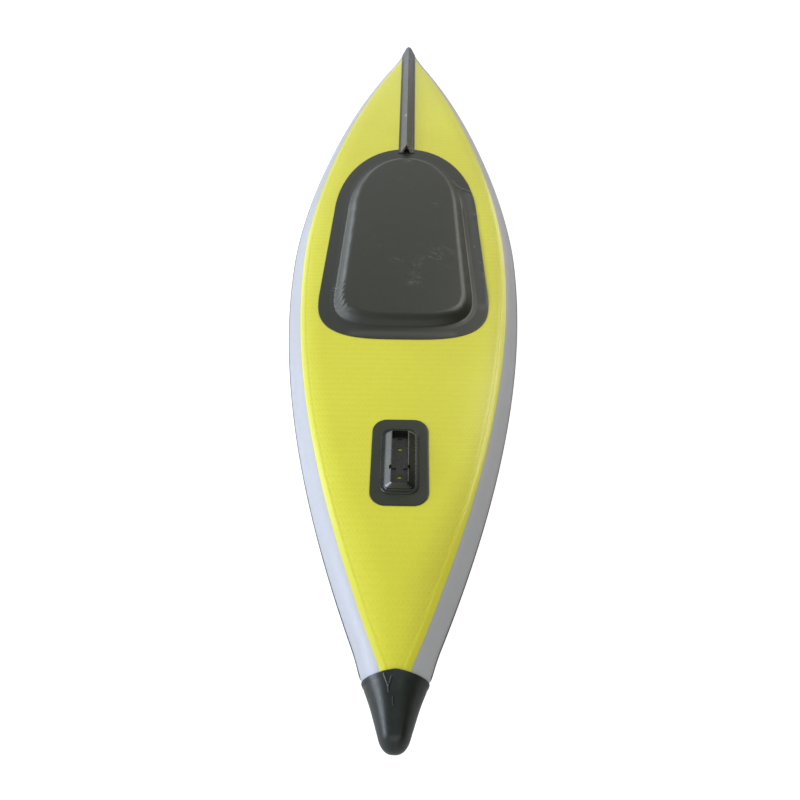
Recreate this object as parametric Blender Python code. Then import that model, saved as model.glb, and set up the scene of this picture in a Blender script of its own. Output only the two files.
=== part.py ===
"""Inflatable drop-stitch kayak, lying bottom up on its cockpit coaming.

Metres, +Z up.  The hull frame has its zero at the stern tip on the bottom panel: x runs
across, y runs from the stern (0) to the bow (HULL_LENGTH), and z is 0 on the bottom panel and
-THICKNESS on the deck, which faces the ground.
"""

import math

import bmesh
import bpy
import numpy as np
from mathutils import Matrix

for old in list(bpy.data.objects):
    bpy.data.objects.remove(old, do_unlink=True)

# Hull, as a plan curve and a half-round side
HULL_LENGTH = 3.60
HALF_BEAM = 0.4216
WIDEST_Y = 1.754
THICKNESS = 0.150
BOW_FULLNESS = 1.706
BOW_SHARPNESS = 0.966
STERN_FULLNESS = 2.002
STERN_SHARPNESS = 0.965
STERN_TIP_HALF = 0.0245
STERN_CONE = 0.318
STERN_CONE_END = 0.139
STERN_NOSE_RADIUS = 0.030
STERN_NOSE_SHARE = 0.42
STERN_TAPER_LENGTH = 0.22
NARROW_SIDE_SHARE = 0.80
SEAM_ANGLE = math.radians(22.4)
BOW_ROCKER = 0.035
BOW_ROCKER_LENGTH = 1.0
STERN_ROCKER = 0.020
STERN_ROCKER_LENGTH = 0.60
HULL_STATIONS = 30
FLAT_END = 0.020

# Sheet thicknesses and clearances
GAP = 0.0003
PANEL_WALL = 0.0025
TAPE_WALL = 0.0012
PATCH_WALL = 0.0020
CAP_GAP = 0.0008
CAP_WALL = 0.0025
TAPE_TOP_ANGLE = math.radians(62.0)
TAPE_LOW_ANGLE = math.radians(101.0)

# End caps
STERN_CAP_LENGTH = 0.168
STERN_CAP_SWEEP = 0.013
BOW_CAP_LENGTH = 0.075
BOW_CAP_SWEEP = 0.004

# Cockpit well, as the outline of the bulge's foot on the bottom panel
WELL_NEAR = 1.302
WELL_FAR = 2.366
WELL_HALF_NEAR = 0.252
WELL_HALF_FAR = 0.237
WELL_NEAR_ROUND = 0.182
WELL_FAR_ROUND = 0.400
WELL_NEAR_POWER = 3.3
WELL_FAR_POWER = 2.12
WELL_POINTS = 48
TUB_WALL = 0.003
TUB_FLANGE = 0.048
TUB_FAR_FLANGE = 0.081
BULGE_HEIGHT = 0.032
BULGE_SLOPE = 0.045
HOLE_INSET = 0.006
LINING_WALL = 0.003
COAMING_HEIGHT = 0.070
COAMING_WALL = 0.005
COAMING_BASE = 0.034
COAMING_LIP = 0.024
LIP_THICKNESS = 0.004

# Keel strip on the bow
STRIP_HALF = 0.035
STRIP_GAP = 0.0005
RIDGE_HALF = 0.025
RIDGE_HEIGHT = 0.030
RIDGE_NOSE_HEIGHT = 0.010
RIDGE_NOSE_LENGTH = 0.30
STRIP_NOSE_LENGTH = 0.28
STRIP_NOSE_LIFT = 0.0009
STRIP_WALL = 0.0025
STRIP_OVERLAP = 0.034
RIDGE_RAKE = 0.010

# Fin box
FIN_CENTRE_Y = 0.758
FIN_PATCH_LENGTH = 0.303
FIN_PATCH_WIDTH = 0.168
FIN_PATCH_CORNER = 0.045
FIN_SKIRT_LENGTH = 0.228
FIN_SKIRT_WIDTH = 0.112
FIN_SKIRT_CORNER = 0.030
FIN_SKIRT_HEIGHT = 0.003
FIN_BODY_LENGTH = 0.204
FIN_BODY_WIDTH = 0.088
FIN_BODY_CORNER = 0.018
FIN_HEIGHT = 0.024
FIN_RIM = 0.003
FIN_CHANNEL_LENGTH = 0.182
FIN_CHANNEL_WIDTH = 0.046
FIN_CHANNEL_CORNER = 0.006
FIN_FLOOR = 0.0045
FIN_GROOVE_WIDTH = 0.018
FIN_GROOVE_LENGTH = 0.150
FIN_GROOVE_DEPTH = 0.002
FIN_HOLE_LENGTH = 0.011
FIN_HOLE_WIDTH = 0.015
FIN_HOLE_FRONT = 0.0385
FIN_HOLE_REAR = -0.0595
FIN_NOTCH_Y = -0.032
FIN_NOTCH_LENGTH = 0.016
FIN_NOTCH_REACH = 0.030
FIN_NOTCH_INNER = 0.0105
FIN_NOTCH_FLOOR = 0.0020

# Seat, with its backrest folded down on it, and foot rest
SEAT_SETBACK = 0.108
SEAT_WIDTH = 0.350
SEAT_LENGTH = 0.370
SEAT_THICKNESS = 0.045
BACK_LENGTH = 0.360
BACK_THICKNESS = 0.040
SEAT_PLAY = 0.0006
FOOT_REST_SETBACK = 0.286
FOOT_REST_RADIUS = 0.044
FOOT_REST_WIDTH = 0.250
FOOT_STRIP_X = 0.075
FOOT_STRIP_WIDTH = 0.025
FOOT_STRIP_LENGTH = 0.340
FOOT_STRIP_SETBACK = 0.336
FOOT_STRIP_WALL = 0.002

# Air valve on the rear deck
VALVE_SETBACK = 0.282
VALVE_FLANGE_RADIUS = 0.029
VALVE_FLANGE = 0.003
VALVE_BARREL_RADIUS = 0.019
VALVE_BORE_RADIUS = 0.0165
VALVE_DEPTH = 0.030
VALVE_SEAT_RADIUS = 0.0115
VALVE_WEB = 0.003
VALVE_GUIDE_RADIUS = 0.0042
VALVE_STEM_RADIUS = 0.0020
VALVE_STEM_CLEARANCE = 0.0003
VALVE_STROKE = 0.005
VALVE_DISC_RADIUS = 0.0140
VALVE_DISC = 0.0020
VALVE_SEAL = 0.0016
VALVE_HEAD_RADIUS = 0.0055
VALVE_HEAD = 0.002
VALVE_SPRING_LENGTH = 0.010
VALVE_SPRING_RADIUS = 0.0036
VALVE_WIRE_RADIUS = 0.0004
VALVE_SPRING_TURNS = 4
VALVE_NUT_RADIUS = 0.027
VALVE_NUT = 0.006
VALVE_POCKET_RADIUS = 0.031
VALVE_POCKET_DEPTH = 0.046
CAP_RADIUS = 0.0245
CAP_TOP = 0.004
CAP_SKIRT_WALL = 0.002
CAP_SKIRT_DEPTH = 0.007
CAP_RING_WALL = 0.0016
CAP_GRIP_HEIGHT = 0.005
CAP_GRIP_WIDTH = 0.005
VALVE_CLEARANCE = 0.0004

# D-rings, each in a webbing loop on a round patch
D_RING_PATCH_RADIUS = 0.032
D_RING_ROD = 0.0020
D_RING_HALF = 0.0135
D_RING_LEG = 0.006
D_RING_PLAY = 0.0006
WEB_WALL = 0.0015
WEB_HALF = 0.010
REAR_RING_X = 0.160
REAR_RING_SETBACK = 0.172
STERN_RING_X = 0.110
STERN_RING_Y = 0.700
FRONT_RING_X = 0.130
FRONT_RING_AHEAD = 0.274

# Carry handles on the deck
BOW_HANDLE_SETBACK = 0.500
STERN_HANDLE_Y = 0.420
HANDLE_HALF = 0.060
HANDLE_DROP = 0.036
HANDLE_CORNER = 0.014
HANDLE_SHOULDER = 0.006
HANDLE_ROD = 0.0030
HANDLE_PLAY = 0.0004
HANDLE_PIN = 0.016
GRIP_RADIUS = 0.010
GRIP_HALF = 0.040
LUG_WIDTH = 0.009
LUG_REACH = 0.012
LUG_LENGTH = 0.014
ANCHOR_LENGTH = 0.042
ANCHOR_MARGIN = 0.014


def mesh_of(name, points, faces):
    """A closed mesh from points and faces, with its faces turned outwards."""
    mesh = bpy.data.meshes.new(name)
    mesh.from_pydata([tuple(map(float, p)) for p in points], [], [tuple(map(int, f)) for f in faces])
    bm = bmesh.new()
    bm.from_mesh(mesh)
    bmesh.ops.recalc_face_normals(bm, faces=bm.faces)
    bm.to_mesh(mesh)
    bm.free()
    return mesh


def finish(name, colour, roughness, metallic=0.0):
    """A plain material in the piece's own colour."""
    made = bpy.data.materials.new(name)
    made.use_nodes = True
    shader = made.node_tree.nodes["Principled BSDF"]
    shader.inputs["Base Color"].default_value = (*colour, 1.0)
    shader.inputs["Roughness"].default_value = roughness
    shader.inputs["Metallic"].default_value = metallic
    return made


YELLOW = (0.68, 0.69, 0.09)
GREY = (0.50, 0.52, 0.58)
BLACK = (0.030, 0.032, 0.032)
CHARCOAL = (0.06, 0.06, 0.065)
STEEL = (0.62, 0.62, 0.60)

FRAME = bpy.data.objects.new("hull_frame", None)
FRAME.location = (0.0, -HULL_LENGTH / 2, THICKNESS + COAMING_HEIGHT)
bpy.context.scene.collection.objects.link(FRAME)


def add(name, mesh, colour, roughness, metallic=0.0, at=(0.0, 0.0, 0.0), tilt=0.0, crease=35.0):
    """Puts a mesh in the hull frame as a named piece with its own material."""
    piece = bpy.data.objects.new(name, mesh)
    bpy.context.scene.collection.objects.link(piece)
    piece.parent = FRAME
    piece.location = at
    piece.rotation_euler = (tilt, 0.0, 0.0)
    if isinstance(mesh, bpy.types.Mesh):
        mesh.shade_smooth()
        mesh.set_sharp_from_angle(angle=math.radians(crease))
    if not mesh.materials:
        mesh.materials.append(finish(name, colour, roughness, metallic))
    return piece


def guide(name, mesh, at=(0.0, 0.0, 0.0)):
    """A cutter or a building shape that is not a piece of the kayak."""
    piece = bpy.data.objects.new(name, mesh)
    bpy.context.scene.collection.objects.link(piece)
    piece.parent = FRAME
    piece.location = at
    piece.hide_render = True
    piece.display_type = "WIRE"
    return piece


def combine(piece, other, operation):
    """Leaves a Boolean on a piece."""
    step = piece.modifiers.new(other.name, "BOOLEAN")
    step.operation = operation
    step.object = other
    step.solver = "EXACT"


def baked(name, piece, helpers):
    """The evaluated mesh of a building shape, for pieces that repeat; the shapes go."""
    bpy.context.view_layer.update()
    graph = bpy.context.evaluated_depsgraph_get()
    mesh = bpy.data.meshes.new_from_object(piece.evaluated_get(graph))
    mesh.name = name
    mesh.materials.clear()
    for shape in (piece, *helpers):
        bpy.data.objects.remove(shape, do_unlink=True)
    return mesh


# Hull surface

HULL_START = CAP_WALL + CAP_GAP
HULL_END = HULL_LENGTH - CAP_WALL - CAP_GAP


def end_round(distance, radius):
    """Grows from 0 at a tip to 1, as a quarter circle of the radius given."""
    share = min(max(distance / radius, 0.0), 1.0)
    return math.sqrt(1.0 - (1.0 - share) ** 2)


def half_beam(y):
    """Half the hull's width at its widest line."""
    if y >= WIDEST_Y:
        share = min(max((HULL_END - y) / (HULL_END - WIDEST_Y), 0.0), 1.0)
        return HALF_BEAM * (1 - (1 - share) ** BOW_FULLNESS) ** BOW_SHARPNESS
    share = min(max((y - HULL_START) / (WIDEST_Y - HULL_START), 0.0), 1.0)
    fair = HALF_BEAM * (1 - (1 - share) ** STERN_FULLNESS) ** STERN_SHARPNESS
    cone = STERN_TIP_HALF + STERN_CONE * min(y, STERN_CONE_END)
    return max(fair, cone) * end_round(y - HULL_START, STERN_NOSE_RADIUS)


def half_height(y):
    """Half the hull's thickness, which falls away at both tips."""
    tail = min(max((y - HULL_START) / STERN_TAPER_LENGTH, 0.0), 1.0)
    slim = STERN_NOSE_SHARE + (1 - STERN_NOSE_SHARE) * tail * (2 - tail)
    nose = end_round(y - HULL_START, STERN_NOSE_RADIUS) * end_round(HULL_END - y, THICKNESS / 2)
    return THICKNESS / 2 * slim * nose


def rocker(y):
    """How far the hull bends towards the deck at its ends."""
    ahead = max(y - (HULL_LENGTH - BOW_ROCKER_LENGTH), 0.0) / BOW_ROCKER_LENGTH
    behind = max(STERN_ROCKER_LENGTH - y, 0.0) / STERN_ROCKER_LENGTH
    return BOW_ROCKER * ahead**2 + STERN_ROCKER * behind**2


def section(y):
    """The flat's half-width, the side's reach, the half-height and the middle height."""
    beam = half_beam(y)
    reach = min(THICKNESS / 2, NARROW_SIDE_SHARE * beam)
    return beam - reach, reach, half_height(y), -THICKNESS / 2 - rocker(y)


def surface(y, w):
    """A point of the hull: w runs 0 to 1 over the bottom flat, to 2 round the side and
    to 3 over the deck flat, and a negative w is the left side."""
    flat, reach, tall, middle = section(y)
    side = -1.0 if w < 0 else 1.0
    w = abs(w)
    if w <= 1.0:
        return np.array((side * flat * w, y, middle + tall))
    if w <= 2.0:
        angle = (w - 1.0) * math.pi
        return np.array((side * (flat + reach * math.sin(angle)), y, middle + tall * math.cos(angle)))
    return np.array((side * flat * (3.0 - w), y, middle - tall))


def outward(y, w):
    """The hull's unit normal."""
    step = 1e-4
    low = max(y - step, HULL_START + step)
    high = min(y + step, HULL_END - step)
    along = surface(high, w) - surface(low, w)
    side = -1.0 if w < 0 else 1.0
    size = abs(w)
    first = max(size - step, 0.0)
    last = min(size + step, 3.0)
    across = surface(y, side * last) - surface(y, side * first if first > 0 else -last)
    normal = np.cross(along, across) * side
    if np.dot(normal, (surface(y, w) - np.array((0.0, y, section(y)[3])))) < 0:
        normal = -normal
    return normal / np.linalg.norm(normal)


def skin_point(y, w, out):
    """A point that stands off the hull by the distance given."""
    return surface(y, w) + out * outward(y, w)


CAP_FRONT = STERN_CAP_LENGTH + GAP
BOW_CAP_REAR = HULL_LENGTH - BOW_CAP_LENGTH - GAP
STRIP_START = WELL_FAR + TUB_FAR_FLANGE - STRIP_OVERLAP
SKIN_START = HULL_START + FLAT_END
SKIN_END = HULL_END - FLAT_END


def stations(start, end):
    """Stations along the hull, closer at the ends, that every sheet on it shares."""
    turns = [math.pi * i / HULL_STATIONS for i in range(HULL_STATIONS + 1)]
    shared = [SKIN_START + (SKIN_END - SKIN_START) * (1 - math.cos(t)) / 2 for t in turns]
    named = [start, end, STERN_CONE_END, CAP_FRONT, BOW_CAP_REAR, WIDEST_Y]
    kept = sorted(y for y in named if start <= y <= end)
    for y in shared:
        if start < y < end and min(abs(y - k) for k in kept) > 0.008:
            kept.append(y)
    return sorted(kept)


SEAM_W = 1.0 + SEAM_ANGLE / math.pi
DECK_SEAM_W = 3.0 - SEAM_W
SIDE_STEPS = 8
EDGE_STEPS = 2


def spread(first, last, steps):
    """Evenly spaced values, both ends among them."""
    return [first + (last - first) * i / steps for i in range(steps + 1)]


SEAM_EDGE = spread(1.0, SEAM_W, EDGE_STEPS)
SIDE_EDGE = spread(SEAM_W, DECK_SEAM_W, SIDE_STEPS)
DECK_EDGE = spread(DECK_SEAM_W, 2.0, EDGE_STEPS)


def grid(rows, columns, out, inset=0.0):
    """Points over the hull, with the first and last column drawn in by an angle share."""
    edge = list(columns)
    edge[0] += inset
    edge[-1] -= inset
    return np.array([[skin_point(y, w, out) for w in edge] for y in rows])


def sheet_faces(rows, columns, start=0, flip=False):
    """Triangles over a grid of points, always split along the same diagonal."""
    faces = []
    for i in range(rows - 1):
        for j in range(columns - 1):
            a = start + i * columns + j
            b, c, d = a + 1, a + columns + 1, a + columns
            pair = [(a, b, c), (a, c, d)]
            faces += [tuple(reversed(f)) for f in pair] if flip else pair
    return faces


def sheet_mesh(name, outer, inner):
    """A closed sheet between two matching grids."""
    rows, columns = outer.shape[:2]
    count = rows * columns
    faces = sheet_faces(rows, columns) + sheet_faces(rows, columns, count, flip=True)
    border = [j for j in range(columns)]
    border += [i * columns + columns - 1 for i in range(1, rows)]
    border += [(rows - 1) * columns + j for j in range(columns - 2, -1, -1)]
    border += [i * columns for i in range(rows - 2, 0, -1)]
    for a, b in zip(border, border[1:] + border[:1]):
        if a // columns <= b // columns:
            faces += [(b, a, b + count), (a, a + count, b + count)]
        else:
            faces += [(b, a, a + count), (b, a + count, b + count)]
    return mesh_of(name, np.concatenate([outer.reshape(-1, 3), inner.reshape(-1, 3)]), faces)


def hull_sheet(name, start, end, columns, out, wall):
    """A sheet that follows the hull, its outer face standing off it by out."""
    rows = stations(start, end)
    edge = GAP / 2 / (math.pi * THICKNESS / 2)
    return sheet_mesh(name, grid(rows, columns, out, edge), grid(rows, columns, out - wall, edge))


def tube_mesh(name, rings, closed):
    """A solid through rings of points, with flat ends, or joined round when closed."""
    count, size = len(rings), len(rings[0])
    faces = []
    for i in range(count if closed else count - 1):
        for j in range(size):
            a, b = i * size + j, i * size + (j + 1) % size
            c, d = (i + 1) % count * size + (j + 1) % size, (i + 1) % count * size + j
            faces += [(a, b, c), (a, c, d)]
    if not closed:
        faces += [tuple(range(size)), tuple((count - 1) * size + j for j in reversed(range(size)))]
    return mesh_of(name, np.concatenate(rings), faces)


# Shapes that more than one piece uses


def well_outline(grow, far_grow=None):
    """The cockpit's plan outline, moved outwards by grow."""
    far_grow = grow if far_grow is None else far_grow
    points = []
    half = WELL_POINTS // 2
    for i in range(WELL_POINTS):
        near = i >= half
        angle = math.pi * (i % half + 0.5) / half + (math.pi if near else 0.0)
        power = 2.0 / (WELL_NEAR_POWER if near else WELL_FAR_POWER)
        across = math.copysign(abs(math.cos(angle)) ** power, math.cos(angle))
        along = abs(math.sin(angle)) ** power
        if near:
            middle = WELL_NEAR + WELL_NEAR_ROUND
            points.append((across * (WELL_HALF_NEAR + grow), middle - along * (WELL_NEAR_ROUND + grow)))
        else:
            middle = WELL_FAR - WELL_FAR_ROUND
            points.append((across * (WELL_HALF_FAR + grow), middle + along * (WELL_FAR_ROUND + far_grow)))
    return points


def well_ring(grow, z, far_grow=None):
    """The outline as points at one height."""
    return np.array([(x, y, z) for x, y in well_outline(grow, far_grow)])


def rounded_rectangle(width, length, corner, steps=5):
    """Corner arcs of a rectangle across x and along y, anticlockwise."""
    points = []
    for turn, (sx, sy) in enumerate(((1, 1), (-1, 1), (-1, -1), (1, -1))):
        for i in range(steps + 1):
            angle = math.pi / 2 * (turn + i / steps)
            x = sx * (width / 2 - corner) + corner * math.cos(angle)
            y = sy * (length / 2 - corner) + corner * math.sin(angle)
            points.append((x, y))
    return points


def stacked(name, layers):
    """A solid through plan outlines, each at its own height."""
    return tube_mesh(name, [np.array([(x, y, z) for x, y in outline]) for outline, z in layers], False)


def ellipse(width, length, steps=16):
    """An ellipse across x and along y."""
    turns = [2 * math.pi * i / steps for i in range(steps)]
    return [(width / 2 * math.cos(t), length / 2 * math.sin(t)) for t in turns]


def turned(name, profile, steps=32):
    """A closed profile of radius and height, turned about z."""
    rings = []
    for i in range(steps):
        angle = 2 * math.pi * i / steps
        rings.append(np.array([(r * math.cos(angle), r * math.sin(angle), z) for r, z in profile]))
    return tube_mesh(name, rings, True)


def turned_solid(name, profile, steps=32):
    """An open profile from the axis out and back to it, turned about z."""
    inner = profile[1:-1]
    points = [(0.0, 0.0, profile[0][1]), (0.0, 0.0, profile[-1][1])]
    size = len(inner)
    for i in range(steps):
        angle = 2 * math.pi * i / steps
        points += [(r * math.cos(angle), r * math.sin(angle), z) for r, z in inner]
    faces = []
    for i in range(steps):
        a, b = 2 + i * size, 2 + (i + 1) % steps * size
        faces += [(0, a, b), (1, b + size - 1, a + size - 1)]
        faces += [(a + j, a + j + 1, b + j + 1, b + j) for j in range(size - 1)]
    return mesh_of(name, points, faces)


def box(name, low, high):
    """A box between two corners."""
    outline = [(low[0], low[1]), (high[0], low[1]), (high[0], high[1]), (low[0], high[1])]
    return stacked(name, [(outline, low[2]), (outline, high[2])])


def cushion(name, width, length, thickness, crown, channels, flat_side):
    """A crowned cushion with drawn-in sides, sewn channels on its crowned face and a flat
    back.  flat_side is +1 where the flat face looks up."""
    across, along = 18, 22
    top, low = [], []
    for i in range(along + 1):
        v = -1.0 + 2.0 * i / along
        for j in range(across + 1):
            u = -1.0 + 2.0 * j / across
            drawn = 1.0 - 0.030 * (v * v) * (1 - u * u) if abs(v) == 1.0 else 1.0
            waist = 1.0 - 0.035 * (1 - v * v) * abs(u) ** 6
            x = width / 2 * u * waist * math.sqrt(1 - 0.20 * v**4 * u * u)
            y = length / 2 * v * drawn * math.sqrt(1 - 0.20 * u**4 * v * v)
            rim = max(0.0, (1 - abs(u) ** 5) * (1 - abs(v) ** 5))
            groove = 0.16 * abs(math.cos(math.pi * channels * (v + 1) / 2)) ** 14 if 0 < i < along else 0.0
            height = thickness * (0.42 + (0.58 - crown) * rim**0.5 + crown * (1 - u * u) * (1 - v * v))
            height -= thickness * groove * rim
            top.append((x, y, -flat_side * height))
            low.append((x, y, 0.0))
    rows, columns = along + 1, across + 1
    shape = (rows, columns, 3)
    return sheet_mesh(name, np.array(top).reshape(shape), np.array(low).reshape(shape))


# The chamber: a drop-stitch core in its sheets


def build_core():
    """The stitched chamber, cut through for the cockpit and pocketed for the valve."""
    rows = stations(SKIN_START, SKIN_END)
    half = [0.0] + SEAM_EDGE + SIDE_EDGE[1:] + DECK_EDGE[1:] + [3.0]
    around = half + [-w for w in reversed(half[1:-1])]
    depth = PANEL_WALL + GAP
    rings = [np.array([skin_point(y, w, -depth) for w in around]) for y in rows]
    core = add("drop_stitch_core", tube_mesh("drop_stitch_core", rings, False), (0.75, 0.75, 0.72), 0.9)
    combine(core, WELL_CUTTER, "DIFFERENCE")
    combine(core, VALVE_POCKET, "DIFFERENCE")
    return core


def build_panels():
    """The bottom panel, the two side walls and the deck panel."""
    edge = list(reversed([-w for w in SEAM_EDGE])) + [0.0] + SEAM_EDGE
    sheet = hull_sheet("bottom_panel", SKIN_START, SKIN_END, edge, 0.0, PANEL_WALL)
    bottom = add("bottom_panel", sheet, YELLOW, 0.45)
    combine(bottom, WELL_CUTTER, "DIFFERENCE")
    for name, side in (("left_side_wall", -1), ("right_side_wall", 1)):
        columns = sorted(side * w for w in SIDE_EDGE)
        sheet = hull_sheet(name, SKIN_START, SKIN_END, columns, 0.0, PANEL_WALL)
        add(name, sheet, GREY, 0.5)
    edge = DECK_EDGE + [3.0] + list(reversed([-w for w in DECK_EDGE]))
    sheet = hull_sheet("deck_panel", SKIN_START, SKIN_END, edge, 0.0, PANEL_WALL)
    deck = add("deck_panel", sheet, GREY, 0.5)
    combine(deck, WELL_CUTTER, "DIFFERENCE")
    combine(deck, VALVE_HOLE, "DIFFERENCE")


def build_tapes():
    """The black rail tape that runs along the widest line on each side."""
    for name, side in (("left_rail_tape", -1), ("right_rail_tape", 1)):
        inner = [w for w in SIDE_EDGE if TAPE_TOP_ANGLE < (w - 1) * math.pi < TAPE_LOW_ANGLE]
        columns = [1 + TAPE_TOP_ANGLE / math.pi] + inner + [1 + TAPE_LOW_ANGLE / math.pi]
        columns = sorted(side * w for w in columns)
        mesh = hull_sheet(name, CAP_FRONT, BOW_CAP_REAR, columns, GAP + TAPE_WALL, TAPE_WALL)
        add(name, mesh, BLACK, 0.5)


def build_end_cap(name, tip, reach, sweep, direction, ridge):
    """A moulded rubber cap over one tip: a sleeve with a solid nose."""
    half = [0.0] + SEAM_EDGE + SIDE_EDGE[1:] + DECK_EDGE[1:] + [3.0]
    around = half + [-w for w in reversed(half[1:-1])]
    solid_from = tip + direction * (FLAT_END + CAP_WALL + CAP_GAP - GAP)
    first = tip + direction * (CAP_WALL + CAP_GAP)
    lean = [math.sin(min(max(abs(w) - 1.0, 0.0), 1.0) * math.pi) for w in around]
    fronts = [tip + direction * (reach - sweep * side) for side in lean]

    def ring(share, base, out):
        """One ring between a plane near the tip and the swept front edge."""
        points = []
        for w, front in zip(around, fronts):
            point = skin_point(base + (front - base) * share, w, out)
            if w == 0.0 and out > CAP_GAP:
                point[2] += ridge * share
            points.append(point)
        return np.array(points)

    shares = (1.0, 0.82, 0.64, 0.48, 0.34, 0.22, 0.12, 0.05, 0.012)
    rings = [ring(s, first, CAP_GAP + CAP_WALL) for s in shares]
    nose = section(first + direction * 0.0005)[3]
    centre = np.array((0.0, tip, nose))
    outer_tip = [centre + (point - centre) * np.array((0.45, 0.0, 0.45)) for point in rings[-1]]
    rings.append(np.array(outer_tip))
    inner = [ring(s, solid_from, CAP_GAP) for s in (0.0, 0.05, 0.15, 0.30, 0.48, 0.66, 0.84, 1.0)]
    size = len(around)
    count = len(rings)
    points = np.concatenate(rings + inner)
    faces = []
    order = list(range(count - 1, -1, -1)) + [count + len(inner) - 1 - k for k in range(len(inner))]
    for r, s in zip(order, order[1:]):
        for j in range(size):
            a, b = r * size + j, r * size + (j + 1) % size
            c, d = s * size + (j + 1) % size, s * size + j
            faces += [(a, b, c), (a, c, d)]
    faces += [tuple(order[0] * size + j for j in range(size))]
    faces += [tuple(order[-1] * size + j for j in reversed(range(size)))]
    return add(name, mesh_of(name, points, faces), BLACK, 0.3)


# Keel strip


HULL_ROWS = stations(SKIN_START, SKIN_END)


def facet_section(y, columns):
    """Points and normals of the hull's facets at y, between the two stations round it."""
    ahead = next(i for i, row in enumerate(HULL_ROWS) if row >= y)
    low, high = HULL_ROWS[max(ahead - 1, 0)], HULL_ROWS[ahead]
    share = (y - low) / (high - low) if high > low else 0.0
    points = [surface(low, w) * (1 - share) + surface(high, w) * share for w in columns]
    normals = [outward(low, w) * (1 - share) + outward(high, w) * share for w in columns]
    return np.array(points), np.array(normals)


def facet_point(y, distance, out):
    """A point off the hull's facets, at a distance across them from the keel line."""
    points, normals = facet_section(y, [0.0] + SEAM_EDGE + SIDE_EDGE[1:4])
    lengths = np.concatenate([[0.0], np.cumsum(np.linalg.norm(np.diff(points, axis=0), axis=1))])
    place = np.array([np.interp(abs(distance), lengths, points[:, k]) for k in range(3)])
    normal = np.array([np.interp(abs(distance), lengths, normals[:, k]) for k in range(3)])
    found = place + out * normal / np.linalg.norm(normal)
    return found * np.array((math.copysign(1.0, distance), 1.0, 1.0))


def ridge_height(y):
    """The ridge's height, which falls towards the bow cap."""
    share = min(max((BOW_CAP_REAR - y) / RIDGE_NOSE_LENGTH, 0.0), 1.0)
    return RIDGE_NOSE_HEIGHT + (RIDGE_HEIGHT - RIDGE_NOSE_HEIGHT) * math.sin(share * math.pi / 2)


def strip_row(y, shape, under):
    """One row across the strip; over the cockpit flange it is lifted on to it."""
    step = smooth_step(y, WELL_FAR + TUB_FAR_FLANGE - GAP, WELL_FAR + TUB_FAR_FLANGE + 0.012)
    lift = STRIP_GAP + (1.0 - step) * (PATCH_WALL + GAP)
    lift += STRIP_NOSE_LIFT * smooth_step(y, BOW_CAP_REAR - 0.26, BOW_CAP_REAR - 0.16)
    row = []
    for distance, share in shape:
        point = facet_point(y, distance, lift if under else lift + STRIP_WALL)
        row.append(point + np.array((0.0, 0.0, share * ridge_height(y))))
    return row


def smooth_step(value, low, high):
    """From 0 below low to 1 above high."""
    share = min(max((value - low) / (high - low), 0.0), 1.0)
    return share * share * (3 - 2 * share)


def build_keel_strip():
    """The black strip on the bow: two flat flanges and a hollow tent ridge, open behind."""
    flange = (STRIP_HALF + RIDGE_HALF) / 2
    near_top = RIDGE_HALF * 0.16
    half = [(near_top, 0.90), (RIDGE_HALF * 0.88, 0.10)]
    half += [(distance, 0.0) for distance in (RIDGE_HALF, flange, STRIP_HALF)]
    shape = [(-d, s) for d, s in reversed(half)] + [(0.0, 1.0)] + half
    hidden_top = [(d * 0.86 if abs(d) < RIDGE_HALF else d, s) for d, s in shape]
    shoulder = WELL_FAR + TUB_FAR_FLANGE
    rows = stations(STRIP_START, BOW_CAP_REAR) + [shoulder - GAP, shoulder + 0.006, shoulder + 0.012]
    ends = [y for y in rows if y > BOW_CAP_REAR - STRIP_NOSE_LENGTH]
    for low, high in zip(sorted(ends), sorted(ends)[1:]):
        rows += spread(low, high, 3)[1:-1] if high - low > 0.03 else []
    rows = sorted(rows)
    outer = np.array([strip_row(y, shape, False) for y in rows])
    inner = np.array([strip_row(y, hidden_top, True) for y in rows])
    for layer in (outer, inner):
        heights = layer[0, :, 2] - layer[0, 0, 2]
        layer[0, :, 1] += RIDGE_RAKE * np.clip(heights / RIDGE_HEIGHT, 0.0, 1.0)
    return add("bow_keel_strip", sheet_mesh("bow_keel_strip", outer, inner), BLACK, 0.4)


# Cockpit


def slope(share):
    """The bulge's wall, steep at its foot and level at its top."""
    return math.sin(share * math.pi / 2)


def build_tub():
    """The black floor well: a flange on the bottom panel and a raised rounded floor."""
    top = BULGE_HEIGHT
    face = GAP + PATCH_WALL
    outer = [well_ring(TUB_FLANGE, GAP, TUB_FAR_FLANGE)]
    outer.append(well_ring(TUB_FLANGE - 0.0008, face, TUB_FAR_FLANGE - 0.0008))
    outer.append(well_ring(0.005, face))
    for share in (0.06, 0.22, 0.40, 0.60, 0.80, 1.0):
        outer.append(well_ring(-BULGE_SLOPE * share, face + (top - face) * slope(share)))
    centre = (WELL_HALF_FAR + WELL_HALF_NEAR) / 4
    outer.append(well_ring(-centre, top))
    inner = [well_ring(-centre, top - TUB_WALL)]
    wall = HOLE_INSET + LINING_WALL + GAP
    foot = wall / BULGE_SLOPE + 0.10
    for share in (1.0, 0.80, 0.60, 0.42, foot):
        reach = BULGE_SLOPE * share + TUB_WALL * 0.8
        inner.append(well_ring(-reach, max(GAP, face + (top - face) * slope(share) - TUB_WALL)))
    inner.append(well_ring(-wall - 0.0012, GAP))
    mesh = tube_mesh("cockpit_tub", list(reversed(outer)) + list(reversed(inner)), False)
    return add("cockpit_tub", mesh, BLACK, 0.45)


def build_lining():
    """The inner side wall of the cockpit, between the deck and the bottom panel."""
    high = -GAP
    low = -THICKNESS + GAP
    outer = -HOLE_INSET - GAP
    section_points = [(outer, low), (outer, high), (outer - LINING_WALL, high), (outer - LINING_WALL, low)]
    return add("cockpit_lining", swept_ring("cockpit_lining", section_points), CHARCOAL, 0.6)


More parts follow.
